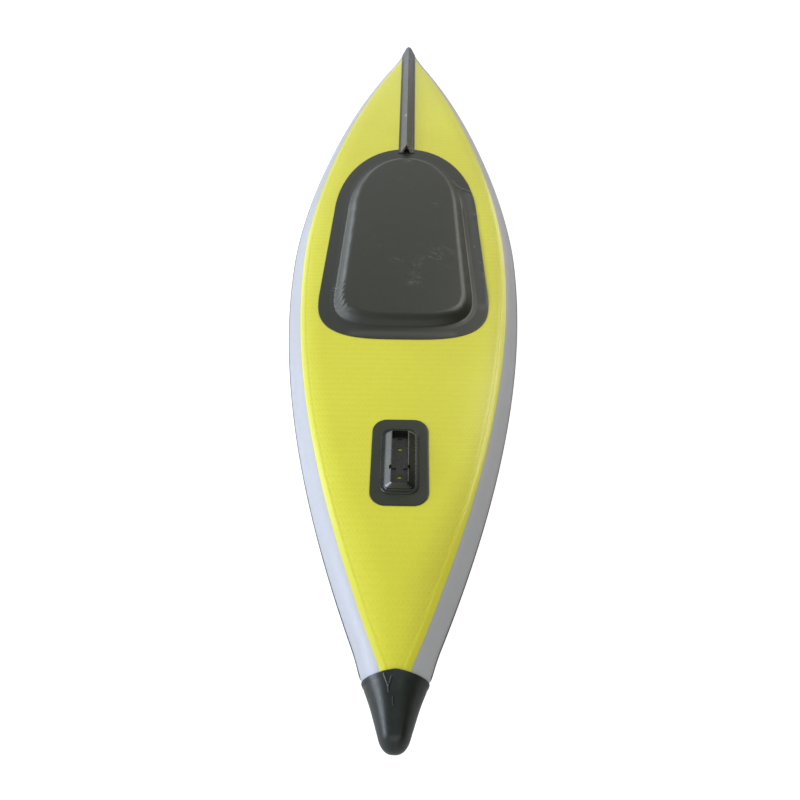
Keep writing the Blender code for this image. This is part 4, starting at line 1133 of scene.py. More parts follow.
def carve(mesh: Mesh, tools: Sequence[Tool], soften: float = 0.0) -> Mesh:
    """Cuts and joins meshes.

    Args:
        mesh: the mesh to work on.
        tools: what each closed mesh does to it, in order.
        soften: the width of a small round on the sharp edges.

    Returns:
        The worked mesh.
    """
    piece = add_object("work", mesh)
    helpers = [add_object("tool", tool) for _, tool in tools]
    for (work, _), helper in zip(tools, helpers):
        step = piece.modifiers.new("cut", "BOOLEAN")
        step.operation, step.object, step.solver = work.value, helper, "EXACT"
    if soften > 0.0:
        edge = piece.modifiers.new("soften", "BEVEL")
        edge.width, edge.segments = soften, 2
        edge.limit_method, edge.angle_limit = "ANGLE", math.radians(40.0)
        edge.use_clamp_overlap = True
    settle(piece)
    made = piece.data
    made["softened"] = soften > 0.0
    for spare in (piece, *helpers):
        bpy.data.objects.remove(spare, do_unlink=True)
    return made


# The hull's lines


def end_round(distance: Array, radius: float, power: float = 2.0) -> Array:
    """Grows from 0 at a tip to 1 as a quarter circle, or blunter with a power over 2."""
    share = np.clip(distance / radius, 0.0, 1.0)
    return (1.0 - (1.0 - share) ** power) ** (1.0 / power)


@dataclass(frozen=True)
class HullForm:
    """The hull as one surface: y runs along it, w runs 0 to 1 over the bottom flat, to 2
    round the side and to 3 over the deck flat, and a negative w is the left side."""

    length: float = 3.60
    half: float = 0.4216
    widest: float = 1.754
    thickness: float = 0.150
    bow_fullness: float = 1.706
    bow_sharpness: float = 0.966
    stern_fullness: float = 2.002
    stern_sharpness: float = 0.965
    tip_half: float = 0.0245
    cone: float = 0.318
    cone_end: float = 0.139
    nose: float = 0.030
    nose_power: float = 2.6
    nose_share: float = 0.42
    flare: Size = (0.0060, 0.163, 0.040)
    taper: float = 0.22
    narrow_share: float = 0.80
    bow_rocker: float = 0.035
    stern_rocker: float = 0.020
    bow_bend: float = 1.0
    stern_bend: float = 0.60
    start: float = 0.0033
    end: float = 3.5967
    seam_angle: float = math.radians(22.4)
    stern_seam: tuple[Spot, ...] = (
        (0.150, 0.0339), (0.176, 0.0406), (0.196, 0.0493), (0.216, 0.0576), (0.237, 0.0663), (0.257, 0.0746),
        (0.278, 0.0824), (0.298, 0.0908), (0.320, 0.0991), (0.340, 0.1063), (0.370, 0.1173))

    def seam(self, y: Array) -> Array:
        """Where the bottom panel meets the side wall.

        Args:
            y: stations.

        Returns:
            The places round the section.
        """
        flat, reach, _, _ = self.section(y)
        along, across = np.array(self.stern_seam).T
        drawn = np.arcsin(np.clip((np.interp(y, along, across) - flat) / reach, 0.1, 0.9))
        angle = drawn + (self.seam_angle - drawn) * smooth(y, 0.33, 0.37)
        return 1.0 + angle / math.pi

    def beam(self, y: Array) -> Array:
        """Half the width at the widest line.

        Args:
            y: stations.

        Returns:
            The half-widths.
        """
        ahead = np.clip((self.end - y) / (self.end - self.widest), 0.0, 1.0)
        fore = self.half * (1 - (1 - ahead) ** self.bow_fullness) ** self.bow_sharpness
        behind = np.clip((y - self.start) / (self.widest - self.start), 0.0, 1.0)
        fair = self.half * (1 - (1 - behind) ** self.stern_fullness) ** self.stern_sharpness
        cone = self.tip_half + self.cone * np.minimum(y, self.cone_end)
        size, at, spread = self.flare
        aft = np.maximum(fair, cone) + size * np.exp(-(((y - at) / spread) ** 2))
        aft = aft * end_round(y - self.start, self.nose, self.nose_power)
        return np.where(y >= self.widest, fore, aft)

    def rocker(self, y: Array) -> Array:
        """How far the hull bends towards the deck.

        Args:
            y: stations.

        Returns:
            The drops.
        """
        ahead = np.maximum(y - self.length + self.bow_bend, 0.0)
        behind = np.maximum(self.stern_bend - y, 0.0) / self.stern_bend
        return self.bow_rocker * ahead**2 + self.stern_rocker * behind**2

    def section(self, y: Array) -> tuple[Array, Array, Array, Array]:
        """The flat's half-width, the side's reach, half the height and the middle's height.

        Args:
            y: stations.

        Returns:
            Four arrays.
        """
        beam = self.beam(y)
        reach = np.minimum(self.thickness / 2, self.narrow_share * beam)
        tail = np.clip((y - self.start) / self.taper, 0.0, 1.0)
        slim = self.nose_share + (1 - self.nose_share) * tail * (2 - tail)
        tips = end_round(y - self.start, self.nose) * end_round(self.end - y, self.thickness / 2)
        return beam - reach, reach, self.thickness / 2 * slim * tips, -self.thickness / 2 - self.rocker(y)

    def point(self, y: Array, w: Array) -> Array:
        """Points of the surface in the model's frame.

        Args:
            y: stations.
            w: places round the section, in an array that fits y's.

        Returns:
            The points.
        """
        y, w = np.broadcast_arrays(np.asarray(y, float), np.asarray(w, float))
        flat, reach, tall, middle = self.section(y)
        size = np.abs(w)
        angle = (np.clip(size, 1.0, 2.0) - 1.0) * math.pi
        round_x = flat + reach * np.sin(angle)
        x = np.where(size <= 1.0, flat * size, np.where(size <= 2.0, round_x, flat * (3.0 - size)))
        z = middle + tall * np.cos(angle)
        return np.stack((np.where(w < 0, -x, x), y, z), -1) + ROW

    def normal(self, y: Array, w: Array) -> Array:
        """The outward normals.

        Args:
            y: stations.
            w: places round the section.

        Returns:
            Unit vectors.
        """
        y, w = np.broadcast_arrays(np.asarray(y, float), np.asarray(w, float))
        step = 1e-4
        low, high = np.maximum(y - step, self.start + 1e-5), np.minimum(y + step, self.end - 1e-5)
        along = self.point(high, w) - self.point(low, w)
        first, last = np.maximum(w - step, -3.0), np.minimum(w + step, 3.0)
        across = self.point(y, last) - self.point(y, first)
        return unit(np.cross(across, along))

    def skin(self, y: Array, w: Array, out: Array | float) -> Array:
        """Points that stand off the surface, by one distance or one for each."""
        return self.point(y, w) + np.asarray(out, float)[..., None] * self.normal(y, w)

    def girth(self, y: Array, distance: Array) -> Array:
        """Finds w for distances round the section from the keel line.

        Args:
            y: stations.
            distance: distances, negative to the left.

        Returns:
            An array of w, stations by distances.
        """
        w = np.linspace(0.0, 2.0, 241)
        found = np.zeros((len(y), len(distance)))
        for i, station in enumerate(y):
            run = self.point(np.full(w.shape, station), w)
            lengths = np.concatenate([[0.0], np.cumsum(np.linalg.norm(np.diff(run, axis=0), axis=1))])
            found[i] = np.sign(distance) * np.interp(np.abs(distance), lengths, w)
        return found


FORM = HullForm()


@dataclass(frozen=True)
class WellForm:
    """The cockpit's outline on the bottom panel, where the bulge has its foot."""

    near: float = 1.302
    far: float = 2.366
    half_near: float = 0.252
    half_far: float = 0.237
    near_round: float = 0.182
    far_round: float = 0.400
    near_power: float = 3.3
    far_power: float = 2.12
    arc: int = 260
    straight: int = 130

    def outline(self, grow: float, far_grow: float | None = None) -> Array:
        """The outline moved outwards.

        Args:
            grow: how far, at the sides and the near end.
            far_grow: how far at the far end, if that differs.

        Returns:
            Points as x and y.
        """
        far_grow = grow if far_grow is None else far_grow
        angle = math.pi * (np.arange(self.arc) + 0.5) / self.arc
        ends = []
        for half, reach, power, turn in (
            (self.half_far + grow, self.far_round + far_grow, self.far_power, 1.0),
            (self.half_near + grow, self.near_round + grow, self.near_power, -1.0),
        ):
            across = np.sign(np.cos(angle)) * np.abs(np.cos(angle)) ** (2.0 / power) * half * turn
            along = np.abs(np.sin(angle)) ** (2.0 / power) * reach * turn
            middle = self.far - self.far_round if turn > 0 else self.near + self.near_round
            ends.append(np.column_stack((across, middle + along)))
        far, near = ends
        share = (np.arange(self.straight) + 1.0)[:, None] / (self.straight + 1.0)
        left = far[-1] * (1 - share) + near[0] * share
        right = near[-1] * (1 - share) + far[0] * share
        return np.concatenate((far, left, near, right))

    def ring(self, grow: float, z: float, far_grow: float | None = None) -> Array:
        """The outline, moved outwards, at a height of the hull frame."""
        return level(self.outline(grow, far_grow), z, ROW)


WELL = WellForm()


# The sheets of the hull


@dataclass
class HullShell:
    """Bottom panel, side walls, deck panel and rail tapes over the stitched core."""

    rows: int = 260
    flat_end: float = 0.020
    lap: float = 0.0008
    tape_wall: float = 0.0012
    tape_top: Spot = (math.radians(84.0), math.radians(72.0))
    tape_low: float = math.radians(101.0)
    stern_front: float = 0.1683
    bow_rear: float = 3.5247
    hole_inset: float = 0.006
    valve_y: float = 1.020
    valve_hole: float = 0.0193
    shoulder_run: float = 0.074
    stern_run: float = 0.050

    def stations(self, start: float, end: float) -> Array:
        """Stations, a little closer at the ends.

        Args:
            start: the first.
            end: the last.

        Returns:
            The stations.
        """
        share = np.linspace(0.0, 1.0, self.rows)
        eased = (1.0 - np.cos(math.pi * share)) / 2.0
        return start + (end - start) * (0.55 * share + 0.45 * eased)

    def over(self, ends: Spot, w: Array, out: Array | float, wall: float) -> Mesh:
        """A sheet over places w between two stations, with its outer face off the hull by out."""
        y = self.stations(*ends)[:, None]
        return sheet(FORM.skin(y, w, out), FORM.skin(y, w, out - wall))

    @property
    def ends(self) -> Spot:
        """The first and last station of the sheets."""
        return FORM.start + self.flat_end, FORM.end - self.flat_end

    def hole(self) -> Mesh:
        """The cutter for the cockpit."""
        return loft([WELL.ring(-self.hole_inset, z) for z in (-0.25, 0.10)])

    def build(self) -> None:
        """Builds and dresses the sheets."""
        y = self.stations(*self.ends)[:, None]
        rim = FORM.seam(y)
        flat = np.concatenate((np.linspace(0.0, 0.72, 16)[:-1], np.linspace(0.72, 1.0, 22)[:-1]))
        half = np.hstack((np.broadcast_to(flat, (self.rows, len(flat))),
                          1.0 + (rim - 1.0) * np.linspace(0.0, 1.0, 14)))
        w = np.hstack((-half[:, ::-1][:, :-1], half))
        proud = self.lap * smooth(np.abs(w), rim - 0.085, rim - 0.075)
        bottom = self.over(self.ends, w, proud, PANEL_WALL + self.lap)
        bottom = carve(bottom, [(Work.CUT, self.hole())])
        self.mark_shoulder(bottom)
        put("bottom_panel_sheet", bottom, YELLOW, node="bottom_panel", crease=50)
        for side in Side:
            w = rim + (3.0 - 2.0 * rim) * np.linspace(0.0, 1.0, 44)
            wall = self.over(self.ends, w if side.value > 0 else -w[:, ::-1], 0.0, PANEL_WALL)
            put(f"{side.word}_wall_sheet", wall, GREY, node=f"{side.word}_side_wall", crease=50)
            self.build_tape(side)
        low = 3.0 - rim
        half = np.hstack((low + (2.0 - low) * np.linspace(0.0, 1.0, 8)[:-1],
                          np.broadcast_to(np.linspace(2.0, 3.0, 26), (self.rows, 26))))
        w = np.hstack((half, -half[:, ::-1][:, 1:]))
        deck = self.over(self.ends, w, 0.0, PANEL_WALL)
        bore = ROW + (0.0, self.valve_y, -FORM.thickness)
        ring = rounded_rectangle(2 * self.valve_hole, 2 * self.valve_hole, self.valve_hole - 1e-5, 12)
        drill = loft([level(ring, z, bore) for z in (-0.02, 0.02)])
        deck = carve(deck, [(Work.CUT, self.hole()), (Work.CUT, drill)])
        put("deck_sheet", deck, DECK_GREY, node="deck_panel", crease=50)
        dress("drop_stitch_core", CORE)

    def build_tape(self, side: Side) -> None:
        """Builds and dresses a rail tape, which is narrower towards the stern.

        Args:
            side: the hull's side.
        """
        ends = self.stern_front, self.bow_rear
        fore, aft = self.tape_top
        top = fore + (aft - fore) * smooth(self.stations(*ends)[:, None], 0.8, 1.75)
        w = 1.0 + (top + (self.tape_low - top) * np.linspace(0.0, 1.0, 20)) / math.pi
        reach = np.minimum(np.arange(20), np.arange(20)[::-1])
        out = GAP + self.tape_wall * np.where(reach == 0, 0.35, np.where(reach == 1, 0.85, 1.0))
        w = w if side.value > 0 else -w[:, ::-1]
        tape = self.over(ends, w, out, self.tape_wall * 0.35)
        put(f"{side.word}_tape", tape, TAPE, node=f"{side.word}_rail_tape", crease=60)

    def mark_shoulder(self, mesh: Mesh) -> None:
        """Writes how far each point of the bottom panel is inside its seam.

        Args:
            mesh: the panel.
        """
        x, y, _ = (places_of(mesh) - ROW).T
        flat, reach, _, _ = FORM.section(y)
        seam = flat + reach * np.sin((FORM.seam(y) - 1.0) * math.pi)
        run = self.shoulder_run + self.stern_run * (1.0 - smooth(y, 0.35, 0.90))
        run = np.minimum(run, np.maximum(seam, 0.02))
        values = np.column_stack((seam - np.abs(x), run, seam - flat))
        mesh.attributes.new("shoulder", "FLOAT_VECTOR", "POINT").data.foreach_set("vector", values.ravel())


@dataclass
class EndCap:
    """A moulded rubber cap over one tip of the hull."""

    end: End
    reach: float
    sweep: float
    ridge: float = 0.0
    ridge_half: float = 0.024
    wall: float = 0.0025
    play: float = 0.0008
    bead: float = 0.0007
    bead_at: float = 0.004
    bead_half: float = 0.0035
    rings: int = 84
    around: int = 44

    def lean(self, w: Array) -> Array:
        """How far each place round the section is from the crown, 0 to 1.

        Args:
            w: places round the section.

        Returns:
            The shares.
        """
        away = self.reach if self.end is End.STERN else FORM.length - self.reach
        across = np.abs(FORM.point(away, w)[..., 0]) / float(FORM.beam(np.array(away)))
        bent = np.sqrt(across**2 + 0.01) - 0.1
        return 1.0 - (1.0 - np.minimum(bent, 1.0)) ** 1.7

    def ring(self, share: float, out: float, w: Array) -> Array:
        """One ring between the tip and the open edge.

        Args:
            share: 0 at the tip, 1 at the open edge.
            out: how far it stands off the hull.
            w: places round the section.

        Returns:
            The ring's points.
        """
        way = self.end.value
        tip = FORM.start if way > 0 else FORM.end
        outer_tip = 0.0 if way > 0 else FORM.length
        edge = outer_tip + way * (self.reach - self.sweep * self.lean(w))
        y = tip + way * 2e-5 + (edge - tip) * share
        outside, from_edge = out > self.play, np.abs(edge - y)
        bead = self.bead * np.exp(-(((from_edge - self.bead_at) / self.bead_half) ** 2)) if outside else 0.0
        points = FORM.skin(y, w, out + bead)
        if self.ridge > 0.0 and outside:
            crown = np.clip(1.0 - np.abs(points[:, 0]) / self.ridge_half, 0.0, 1.0)
            rise = np.sqrt(crown**2 + 0.02) - math.sqrt(0.02)
            upper = np.abs(w) < 1.5
            points[:, 2] += np.where(upper, rise * self.ridge * min(1.0, share * 1.15) ** 0.8, 0.0)
        return points

    def build(self) -> None:
        """Builds and dresses the cap."""
        half = np.concatenate((np.linspace(0.0, 1.0, 12)[:-1], np.linspace(1.0, 2.0, self.around)[:-1],
                               np.linspace(2.0, 3.0, 12)[:-1]))
        w = np.concatenate((half, [3.0], -half[::-1][:-1]))
        shares = (np.linspace(0.0, 1.0, self.rings) ** 1.7)[1:]
        full = self.play + self.wall
        rings = [self.ring(s, full, w) for s in shares]
        rings.append(self.ring(1.0, full - 0.0012, w))
        rings.append(self.ring(1.0, self.play, w))
        rings += [self.ring(s, self.play, w) for s in (0.93, 0.85, 0.75)]
        name = self.end.name.lower()
        put(f"{name}_end_cap", loft(rings), RUBBER, node=f"{name}_cap", crease=45)


# The keel strip on the bow


@dataclass
class KeelStrip:
    """Two flat flanges and a hollow tent ridge, cut open where it meets the cockpit."""

    half: float = 0.035
    ridge_half: float = 0.025
    height: float = 0.030
    nose_height: float = 0.010
    nose_length: float = 0.30
    wall: float = 0.0025
    play: float = 0.0005
    rake: float = 0.020
    swell: float = 0.0009
    wave: float = 0.0004
    start: float = 2.413
    end: float = 3.5247
    shoulder: float = 2.447
    rows: int = 190

    def share(self, distance: Array, soft: float) -> Array:
        """The ridge's shape across the strip.

        Args:
            distance: distances from the keel line.
            soft: how round the apex and the feet are.

        Returns:
            Heights, 0 to 1.
        """
        slope = 1.0 - np.abs(distance) / self.ridge_half
        foot = (slope + np.sqrt(slope**2 + soft)) / 2.0
        apex = np.sqrt((distance / self.ridge_half) ** 2 + 0.012)
        return np.clip(foot * (1.0 - 0.10 * (1.0 - apex)), 0.0, None) - math.sqrt(soft) * 0.02

    def build(self) -> None:
        """Builds and dresses the strip."""
        y = np.sort(np.concatenate((
            np.linspace(self.start, self.end, self.rows), self.shoulder + np.linspace(-0.001, 0.014, 7))))
        side = np.concatenate(([0.0, 0.0007, 0.0015, 0.0026, 0.004, 0.006], np.linspace(0.009, 0.021, 5),
                               [0.0225, 0.0238, 0.025, 0.0264, 0.028, 0.031, 0.0335, 0.0347, self.half]))
        distance = np.concatenate((-side[::-1][:-1], side))
        w = FORM.girth(y, distance)
        step = smooth(y, self.shoulder - GAP, self.shoulder + 0.012)
        lift = self.play + (1.0 - step) * (PATCH_WALL + GAP)
        lift += self.swell * smooth(y, self.end - 0.26, self.end - 0.16)
        run = np.clip((self.end - y) / self.nose_length, 0.0, 1.0)
        ridge = self.nose_height + (self.height - self.nose_height) * np.sin(run * math.pi / 2)
        inside = self.half - np.abs(distance)
        rim = 1.0 - 0.45 * (inside < 0.0002) - 0.12 * (inside < 0.0010)
        top = FORM.skin(y[:, None], w, lift[:, None] + self.wall * rim[None, :])
        top[:, :, 2] += ridge[:, None] * self.share(distance, 0.010)[None, :]
        narrow = np.where(np.abs(distance) < self.ridge_half, distance * 0.64, distance)
        under = FORM.skin(y[:, None], FORM.girth(y, narrow), lift[:, None])
        under[:, :, 2] += ridge[:, None] * self.share(distance, 0.004)[None, :]
        wave = self.wave * noise_at(np.column_stack((y * 0, y, y * 0)), 11.0)
        top[:, :, 2] += wave[:, None] * (np.abs(distance) < self.ridge_half)[None, :]
        for layer in (top, under):
            rise = np.clip((layer[:, :, 2] - layer[:, :1, 2]) / self.height, 0.0, 1.0)
            near = np.clip(1.0 - (y - self.start) / 0.03, 0.0, 1.0)
            layer[:, :, 1] += self.rake * rise * near[:, None]
        put("bow_keel_guard", sheet(top, under), STRIP, node="bow_keel_strip", crease=55)


# The cockpit


@dataclass
class Cockpit:
    """The floor well with its bulge, the lining and the coaming that the kayak lies on."""

    flange: float = 0.048
    far_flange: float = 0.081
    top: float = 0.032
    slope: float = 0.052
    foot_share: float = 0.12
    straight_share: float = 0.40
    foot_in: float = 0.004
    wall: float = 0.003
    inset: float = 0.006
    lining_wall: float = 0.003
    coaming_height: float = 0.070
    coaming_wall: float = 0.005
    coaming_base: float = 0.034
    coaming_lip: float = 0.024
    lip_thickness: float = 0.004
    spine: Spot = (1.50, 1.92)
    floor_steps: int = 34
    crown: float = 0.0012
    swell: float = 0.0007
    ripple: float = 0.00022
    pleat: float = 0.0031
    pleat_pitch: float = 0.029
    folds: tuple[tuple[Spot, Spot, float, float], ...] = (
        ((0.172, 2.205), (0.200, 2.185), 0.0012, 0.0040),
        ((0.200, 2.185), (0.217, 2.157), 0.0018, 0.0030),
        ((0.217, 2.157), (0.241, 2.135), 0.0020, 0.0026),
        ((0.241, 2.135), (0.285, 2.107), 0.0018, 0.0026),
        ((0.255, 2.190), (0.281, 2.130), 0.0010, 0.0030),
        ((0.214, 2.160), (0.236, 1.960), 0.0013, 0.0035),
        ((0.236, 1.960), (0.240, 1.640), 0.0007, 0.0045),
        ((0.283, 2.080), (0.288, 1.950), 0.0022, 0.0140),
        ((0.288, 1.950), (0.291, 1.450), 0.0034, 0.0170),
    )

    def rise(self, share: Array) -> Array:
        """The bulge's wall: a hollow foot, straight, then rounded over to the level top.

        Args:
            share: 0 at the foot, 1 at the top.

        Returns:
            Heights, 0 to 1.
        """
        foot, straight = self.foot_share, self.straight_share
        start = np.minimum(share, foot)
        middle = np.clip(share - foot, 0.0, straight - foot)
        over = np.clip(share - straight, 0.0, 1.0 - straight)
        total = foot / 2 + (straight - foot) + (1.0 - straight) / 2
        return (start**2 / (2 * foot) + middle + over - over**2 / (2 * (1.0 - straight))) / total

    def inward(self, ring: Array, keep: float) -> Array:
        """Draws a ring in towards the well's middle line.

        Args:
            ring: the ring.
            keep: the share of the way out that stays.

        Returns:
            The new ring.
        """
        middle = np.zeros_like(ring)
        middle[:, 1] = np.clip(ring[:, 1], *(np.array(self.spine) + ROW[1]))
        middle[:, 2] = ring[:, 2]
        return middle + (ring - middle) * keep

    def outer_rings(self) -> list[Array]:
        """The rings of the outer face.

        Returns:
            The rings, from the middle out to the flange's edge.
        """
        face = GAP + PATCH_WALL
        edge = [(1.0, GAP), (1.0, face - 0.0007), (0.985, face - 0.0001)]
        edge += [(s, face + 0.0008 * max(0.0, 1.0 - s / 0.16)) for s in np.linspace(0.955, 0.07, 20)]
        rings = [WELL.ring(self.flange * s, z, self.far_flange * s) for s, z in edge]
        for share in np.concatenate((np.linspace(0.0, 0.6, 11), np.linspace(0.65, 1.0, 10))):
            foot = 0.0008 * max(0.0, 1.0 - share / 0.12)
            z = face + foot + (self.top - face) * self.rise(share)
            rings.append(WELL.ring(-self.foot_in - (self.slope - self.foot_in) * share, z))
        rings += [self.inward(rings[-1], keep) for keep in np.linspace(1.0, 0.02, self.floor_steps)[1:]]
        return rings[::-1]

    def form_floor(self, rings: list[Array]) -> list[Array]:
        """Gives the outer face its crown, waves, corner puckers and the fold.

        Args:
            rings: the outer rings.

        Returns:
            The formed rings.
        """
        grid = np.array(rings)
        x, y, z = (grid[:, :, k] - ROW[k] for k in range(3))
        raised = smooth(z, 0.004, self.top)
        crown = np.clip(1.0 - (x / 0.20) ** 2, 0.0, 1.0) * np.clip(1.0 - ((y - 1.76) / 0.50) ** 2, 0.0, 1.0)
        lift = self.crown * crown + self.swell * raised * noise_at(grid, 4.0)
        lift += self.ripple * raised * noise_at(grid, 17.0)
        lift += 0.00012 * (1.0 - raised) * noise_at(grid, 14.0) * (z > 0.0015)
        wall = smooth(z, 0.0025, 0.007) * (1.0 - smooth(z, 0.0285, 0.0315))
        phase = (y - 0.7 * x) / self.pleat_pitch + 0.45 * noise_at(grid, 15.0)
        pleat = np.abs(np.sin(math.pi * phase)) ** 0.7 - 0.6
        corner = smooth(y, 1.365, 1.40) * (1.0 - smooth(y, 1.49, 1.55)) * smooth(-x, 0.165, 0.20)
        lift += self.pleat * pleat * corner * wall
        lift += 0.0005 * np.sin(math.pi * phase * 0.6) * wall * smooth(-x, 0.15, 0.19) * smooth(y, 1.45, 1.9)
        for start, stop, height, width in self.folds:
            a, b = np.array(start), np.array(stop)
            line = b - a
            t = np.clip(((x - a[0]) * line[0] + (y - a[1]) * line[1]) / (line @ line), 0.0, 1.0)
            gap = np.hypot(x - a[0] - t * line[0], y - a[1] - t * line[1])
            lift += height * np.exp(-((gap / width) ** 2)) * (z > 0.0015)
        grid[:, :, 2] += lift
        return list(grid)

    def build_tub(self) -> None:
        """Builds and dresses the floor well."""
        face = GAP + PATCH_WALL
        inner = [WELL.ring(-(self.inset + self.lining_wall + GAP) - 0.0012, GAP)]
        for share in np.linspace(0.26, 1.0, 12):
            z = face + (self.top - face) * self.rise(share) - self.wall
            inner.append(WELL.ring(-(self.slope * share + self.wall * 0.8), max(GAP, z)))
        inner += [self.inward(inner[-1], keep) for keep in np.linspace(1.0, 0.02, 12)[1:]]
        rings = self.form_floor(self.outer_rings()) + inner
        put("cockpit_floor_tub", loft(rings), BLACK, node="cockpit_tub", crease=60)

    @staticmethod
    def swept(section: Sequence[Spot]) -> Mesh:
        """One section, how far outwards and how high each corner is, carried round the well."""
        rings = np.array([WELL.ring(grow, z) for grow, z in section])
        return loft(list(rings.transpose(1, 0, 2)), joined=True)

    def build_rim(self) -> None:
        """Builds and dresses the lining and the coaming."""
        outer = -self.inset - GAP
        inner = outer - self.lining_wall
        deck = -FORM.thickness
        corners = [(outer, deck + GAP), (outer, -GAP), (inner, -GAP), (inner, deck + GAP)]
        lining = self.swept(round_corners(corners, 0.0006, 2))
        put("cockpit_wall_lining", lining, LINING, node="cockpit_lining")
        base, rim = deck - GAP, deck - self.coaming_height
        wall, under, foot = inner + self.coaming_wall, rim + self.lip_thickness, base - PATCH_WALL
        corners = [(inner, base), (self.coaming_base, base), (self.coaming_base, foot),
                   (wall + 0.004, foot - 0.001), (wall, foot - 0.005), (wall, under + 0.003),
                   (wall + 0.003, under), (self.coaming_lip, under), (self.coaming_lip, rim), (inner, rim)]
        coaming = self.swept(round_corners(corners, 0.0016, 3))
        put("cockpit_coaming_rim", coaming, RIM_PLASTIC, node="cockpit_coaming", crease=45)

    def build(self) -> None:
        """Builds the whole cockpit."""
        self.build_tub()
        self.build_rim()


# The fin box


@dataclass
class FinBox:
    """A moulded box on a round-cornered patch, with a channel, two holes and two notches."""

    centre: float = 0.758
    patch: Size = (0.168, 0.303, 0.045)
    skirt: Size = (0.112, 0.228, 0.030)
    body: Size = (0.088, 0.204, 0.018)
    channel: Size = (0.046, 0.182, 0.006)
    groove: Size = (0.018, 0.150, 0.0072)
    skirt_height: float = 0.003
    height: float = 0.024
    rim: float = 0.003
    floor: float = 0.0045
    groove_depth: float = 0.002
    above: float = 0.01
    hole: Spot = (0.015, 0.011)
    hole_offsets: Spot = (0.0385, -0.0595)
    notch_y: float = -0.037
    notch_length: float = 0.013
    notch: Spot = (0.0105, 0.030)
    notch_floor: float = 0.0006

    def stack(self, layers: Sequence[tuple[Size, float, float]], base: float = 0.0) -> Mesh:
        """A solid through round-cornered outlines over the bottom panel.

        Args:
            layers: a width, length and corner radius, how much narrower it is on each side, and a height.
            base: added to each height.

        Returns:
            The mesh.
        """
        place = ROW + (0.0, self.centre, base)
        rings = []
        for (width, length, corner), less, z in layers:
            outline = rounded_rectangle(width - 2 * less, length - 2 * less, max(corner - less, 0.002), 12)
            rings.append(level(outline, z, place))
        return loft(rings)

    def holes(self) -> list[Tool]:
        """The cuts of the two drain holes.

        Returns:
            The cuts.
        """
        tools = []
        for offset in self.hole_offsets:
            ring = circle(40) * self.hole / 2 + (0.0, offset)
            place = ROW + (0.0, self.centre, 0.0)
            tools.append((Work.CUT, loft([level(ring, z, place) for z in (-0.0005, 0.05)])))
        return tools

    def notches(self, seat: float) -> list[Tool]:
        """The cuts of the two notches.

        Args:
            seat: the height on which the box stands.

        Returns:
            The cuts.
        """
        tools = []
        start, stop = self.notch_y - self.notch_length / 2, self.notch_y + self.notch_length / 2
        place = ROW + (0.0, self.centre, seat)
        for side in Side:
            near, far = sorted(side.value * reach for reach in self.notch)
            box = np.array(((near, start), (far, start), (far, stop), (near, stop)))
            rings = [level(box, z, place) for z in (self.notch_floor, self.height + self.above)]
            tools.append((Work.CUT, loft(rings)))
        return tools

    def build(self) -> None:
        """Builds and dresses the patch and the box."""
        face = GAP + PATCH_WALL
        patch = self.stack([(self.patch, less, z) for less, z in (
            (0.0, GAP), (0.0, face - 0.0009), (0.0003, face - 0.0003), (0.0010, face), (0.006, face))])
        put("fin_patch", carve(patch, self.holes()), PATCH, node="fin_box_patch", crease=50)
        low, high, seat = self.skirt_height, self.height, face + GAP
        rim = tuple(np.array(self.channel) + (2 * self.rim, 2 * self.rim, self.rim))
        layers = [(self.skirt, less, z) for less, z in (
            (0.0, 0.0), (0.0, 0.0012), (0.0004, 0.0022), (0.0012, low), (0.0026, low), (0.0036, low - 0.0009),
            (0.0070, low - 0.0010))]
        layers += [(self.body, less, low + z) for less, z in (
            (-0.0010, -0.0006), (0.0, 0.0004), (0.0002, 0.0046), (0.0012, 0.0060))]
        foot, foot_z, top_z = np.array(self.body) - (0.0024, 0.0024, 0.001), low + 0.006, high - 0.0014
        layers += [(tuple(foot * (1 - share) + np.array(rim) * share), 0.0, foot_z + (top_z - foot_z) * share)
                   for share in (0.25, 0.5, 0.75, 0.92)]
        layers += [(rim, less, z) for less, z in (
            (0.0, top_z), (0.0005, high - 0.0004), (0.0012, high), (0.0024, high))]
        channel = [(self.channel, 0.0, self.floor), (self.channel, 0.0, high + self.above)]
        groove = [(self.groove, 0.0, self.floor - self.groove_depth), (self.groove, 0.0, self.floor + 0.001)]
        tools = [(Work.CUT, self.stack(channel, seat)), (Work.CUT, self.stack(groove, seat))]
        body = carve(self.stack(layers, seat), tools + self.notches(seat) + self.holes(), soften=0.0005)
        put("fin_box_moulding", body, BOX_PLASTIC, node="fin_box_body", crease=35)


# Seat and foot rest


